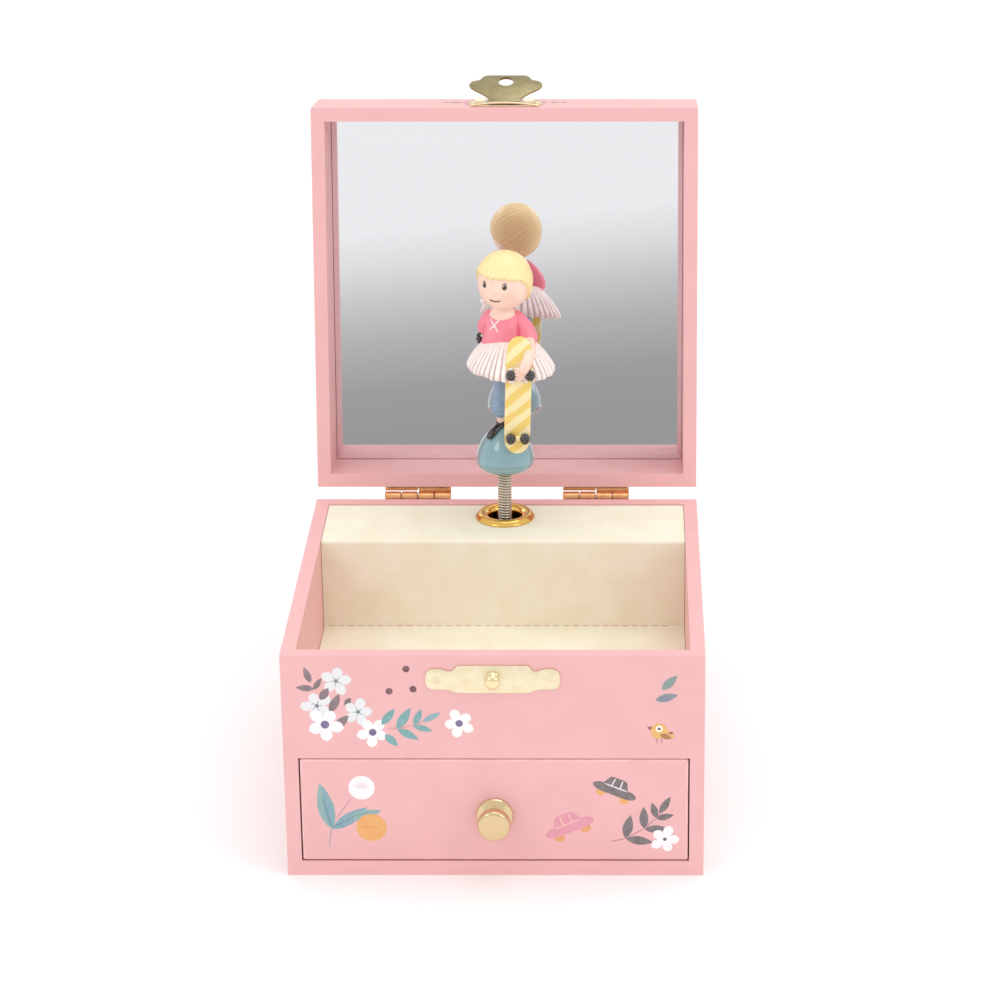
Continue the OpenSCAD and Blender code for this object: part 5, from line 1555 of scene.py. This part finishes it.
def side_scene(p, flip):
    p.sprig(flip * 40, 8, flip * -35, 20, 3, TEAL_INK)
    p.pompon(flip * 24, 34, 4.2)
    p.line(flip * 24, 30, flip * 30, 14, 0.5, STRING_INK)
    p.flower(flip * -38, 50, 4.6, 20)
    p.stemmed(flip * -30, 44, 4.0, 5)
    p.sprig(flip * -44, 38, flip * 30, 12, 2, LEAF_DARK)
    p.car(flip * -12, 13, -6 * flip, 7.2, CAR_INK, ORANGE, PANE_INK)
    p.car(flip * 8, 26, 12 * flip, 6.4, LILAC, RUST_INK, ROSE_PANE)
    p.bird(flip * 2, 50, 2.8, flip)
    for x, z in ((-8, 38), (-4, 42), (-12, 43), (44, 54), (39, 57)):
        p.dot(flip * x, z, 1.0, DOT_INK)
    p.flower(flip * -46, 12, 3.8, 50)
    p.sprig(flip * 28, 48, flip * 60, 12, 2, TEAL_INK)


for name, angle, flip in (("case_right_print", 90, 1), ("case_left_print", -90, -1)):
    side = Print()
    side_scene(side, flip)
    side.finish(name, "case", Matrix.Rotation(math.radians(angle), 4, "Z") @ ON_FRONT)
behind = Print()
fascia_flowers(behind, -1, 2, -2)
behind.sprig(-38, 8, 20, 18, 3, CAR_INK)
behind.flower(-30, 12, 4.0, 10)
behind.pompon(-20, 40, 3.8)
for x, z in ((22, 12), (27, 15), (24, 19)):
    behind.dot(x, z, 1.0, DOT_INK)
behind.finish("case_back_print", "case", Matrix.Rotation(math.pi, 4, "Z") @ ON_FRONT)

# the lid's front wall carries small marks beside the hasp, and its top a wider scene
lid_front = Print()
MARKS_FOOT = 82.5
for x, r in ((-18.2, 0.65), (-16.7, 0.5), (-15.6, 0.7), (-14.4, 0.6), (-11.9, 0.5), (11.4, 0.5), (14.2, 0.7),
             (15.2, 0.55), (17.6, 0.65)):
    lid_front.dot(x, MARKS_FOOT + r, r, DOT_INK)
lid_front.finish("lid_front_print", "lid", LID_OPEN @ ON_FRONT)
lid_top = Print()
fascia_flowers(lid_top, 1, 4, -22)
fascia_flowers(lid_top, -1, -4, -78)
lid_top.car(14, 45, 8, 7.6, CAR_INK, ORANGE, PANE_INK)
lid_top.car(-12, -42, -10, 7.6, LILAC, RUST_INK, ROSE_PANE)
lid_top.bird(-6, 4, 3.8)
lid_top.bird(16, -2, 3.2, -1)
lid_top.sprig(-47, -48, 28, 18, 3, CAR_INK, 0.34)
lid_top.sprig(38, 4, -12, 20, 3, TEAL_INK, 0.34)
lid_top.pompon(-38, -14, 4.6)
lid_top.dot(44, 41, 4.4, ORANGE)
for x, z in ((-2, 30), (3, 26), (4, 34), (-46, 46), (48, -8)):
    lid_top.dot(x, z, 1.2, DOT_INK)
ON_TOP = Matrix.Translation((0, 0, lid_high.z)) @ Matrix.Rotation(math.radians(-90), 4, "X")
lid_top.finish("lid_top_print", "lid", LID_OPEN @ ON_TOP)


# ---- finishes of the frame's own parts ----

NODE_FINISH = {
    BOARD: "base_panel left_side_panel right_side_panel back_panel front_panel front_rail divider_panel "
           "partition_panel ledge_panel lid_top_panel lid_front_wall lid_back_wall lid_left_wall "
           "lid_right_wall",
    PLY: "drawer_left_side drawer_right_side drawer_back drawer_bottom",
    ZINC: "bedplate bearing_brackets",
    TOOL_STEEL: "comb comb_screws brake_spring hinge_pins hasp_pin knob_screw winding_arbor cylinder_arbor "
                "spindle mainspring",
    GEAR_BRASS: "spring_barrel music_cylinder cylinder_pinion cylinder_wheel spindle_pinion",
    NYLON: "governor_fly",
}
for material, names in NODE_FINISH.items():
    for name in names.split():
        part_node = frame["nodes"][name]
        part_node.data.materials.clear()
        part_node.data.materials.append(material)


# ---- floor and light ----

floor = bpy.data.objects.new("studio_floor", bpy.data.meshes.new("studio_floor"))
floor.data.from_pydata([(-2.5, -1.0, 0), (2.5, -1.0, 0), (2.5, 4.5, 0), (-2.5, 4.5, 0)], [], [(0, 1, 2, 3)])
SCENE.collection.objects.link(floor)
floor_paint, tree, place = new_material("matt_white_sweep")
dust = add(tree, "ShaderNodeTexNoise", {"Vector": place, "Scale": scale_for(40), "Detail": 2.0}).outputs[0]
matt = add(tree, "ShaderNodeMapRange", {0: dust, 1: 0.3, 2: 0.7, 3: 0.88, 4: 0.94}).outputs[0]
sweep = add(tree, "ShaderNodeBsdfPrincipled", {
    "Base Color": ink("#FBFBFB"), "Roughness": matt, "Specular IOR Level": 0.1})
add(tree, "ShaderNodeOutputMaterial", {"Surface": sweep.outputs[0]})
floor.data.materials.append(floor_paint)

world = bpy.data.worlds.new("studio")
SCENE.world = world
world.use_nodes = True
tree = world.node_tree
tree.nodes.clear()
way = add(tree, "ShaderNodeTexCoord").outputs["Generated"]
parts = add(tree, "ShaderNodeSeparateXYZ", {0: way}).outputs
slant = add(tree, "ShaderNodeMath", {0: parts[0], 1: parts[1]}, operation="MULTIPLY").outputs[0]
slant = add(tree, "ShaderNodeMath", {0: slant, 1: 0.11}, operation="MULTIPLY").outputs[0]
height = add(tree, "ShaderNodeMath", {0: parts[2], 1: slant}, operation="ADD").outputs[0]
share = add(tree, "ShaderNodeMapRange", {0: height, 1: -0.1, 2: 0.1, 3: 0.0, 4: 1.0}).outputs[0]
ramp = add(tree, "ShaderNodeValToRGB", {0: share})
stops = [(0.0, 0.34), (0.285, 0.345), (0.36, 0.37), (0.44, 0.49), (0.50, 0.63), (0.56, 0.81), (0.61, 0.92),
         (1.0, 0.94)]
while len(ramp.color_ramp.elements) < len(stops):
    ramp.color_ramp.elements.new(0.5)
for element, (at, value) in zip(ramp.color_ramp.elements, stops):
    element.position = at
    element.color = (value, value * 0.995, value, 1)
# the grey end of the studio, which only the mirror looks at
ahead_share = add(tree, "ShaderNodeMapRange", {0: parts[1], 1: -0.93, 2: -0.975, 3: 0.0, 4: 1.0}).outputs[0]
low_white = add(tree, "ShaderNodeMapRange", {0: parts[2], 1: -0.02, 2: 0.0, 3: 1.1, 4: 0.92}).outputs[0]
all_round = add(tree, "ShaderNodeMix", {
    0: ahead_share, 6: low_white, 7: ramp.outputs[0]}, data_type="RGBA").outputs[2]
sky = add(tree, "ShaderNodeBackground", {"Color": all_round, "Strength": 1.0})
add(tree, "ShaderNodeOutputWorld", {"Surface": sky.outputs[0]})


LIGHT_AIM = Vector((0, 0, 0.1))


def softbox(name, place, size, power):
    lamp = bpy.data.lights.new(name, "AREA")
    lamp.shape = "RECTANGLE"
    lamp.size, lamp.size_y = size
    lamp.energy = power
    obj = bpy.data.objects.new(name, lamp)
    SCENE.collection.objects.link(obj)
    away = (Vector(place) - LIGHT_AIM).normalized()
    obj.matrix_world = Matrix.Translation(place) @ away.to_track_quat("Z", "Y").to_matrix().to_4x4()


softbox("left_softbox", (-1.3, -1.3, 1.5), (0.8, 0.8), 4.8)
softbox("right_softbox", (1.5, -1.1, 1.3), (0.9, 0.9), 4.0)
softbox("top_softbox", (0.3, 0.1, 1.9), (1.4, 1.4), 9.2)
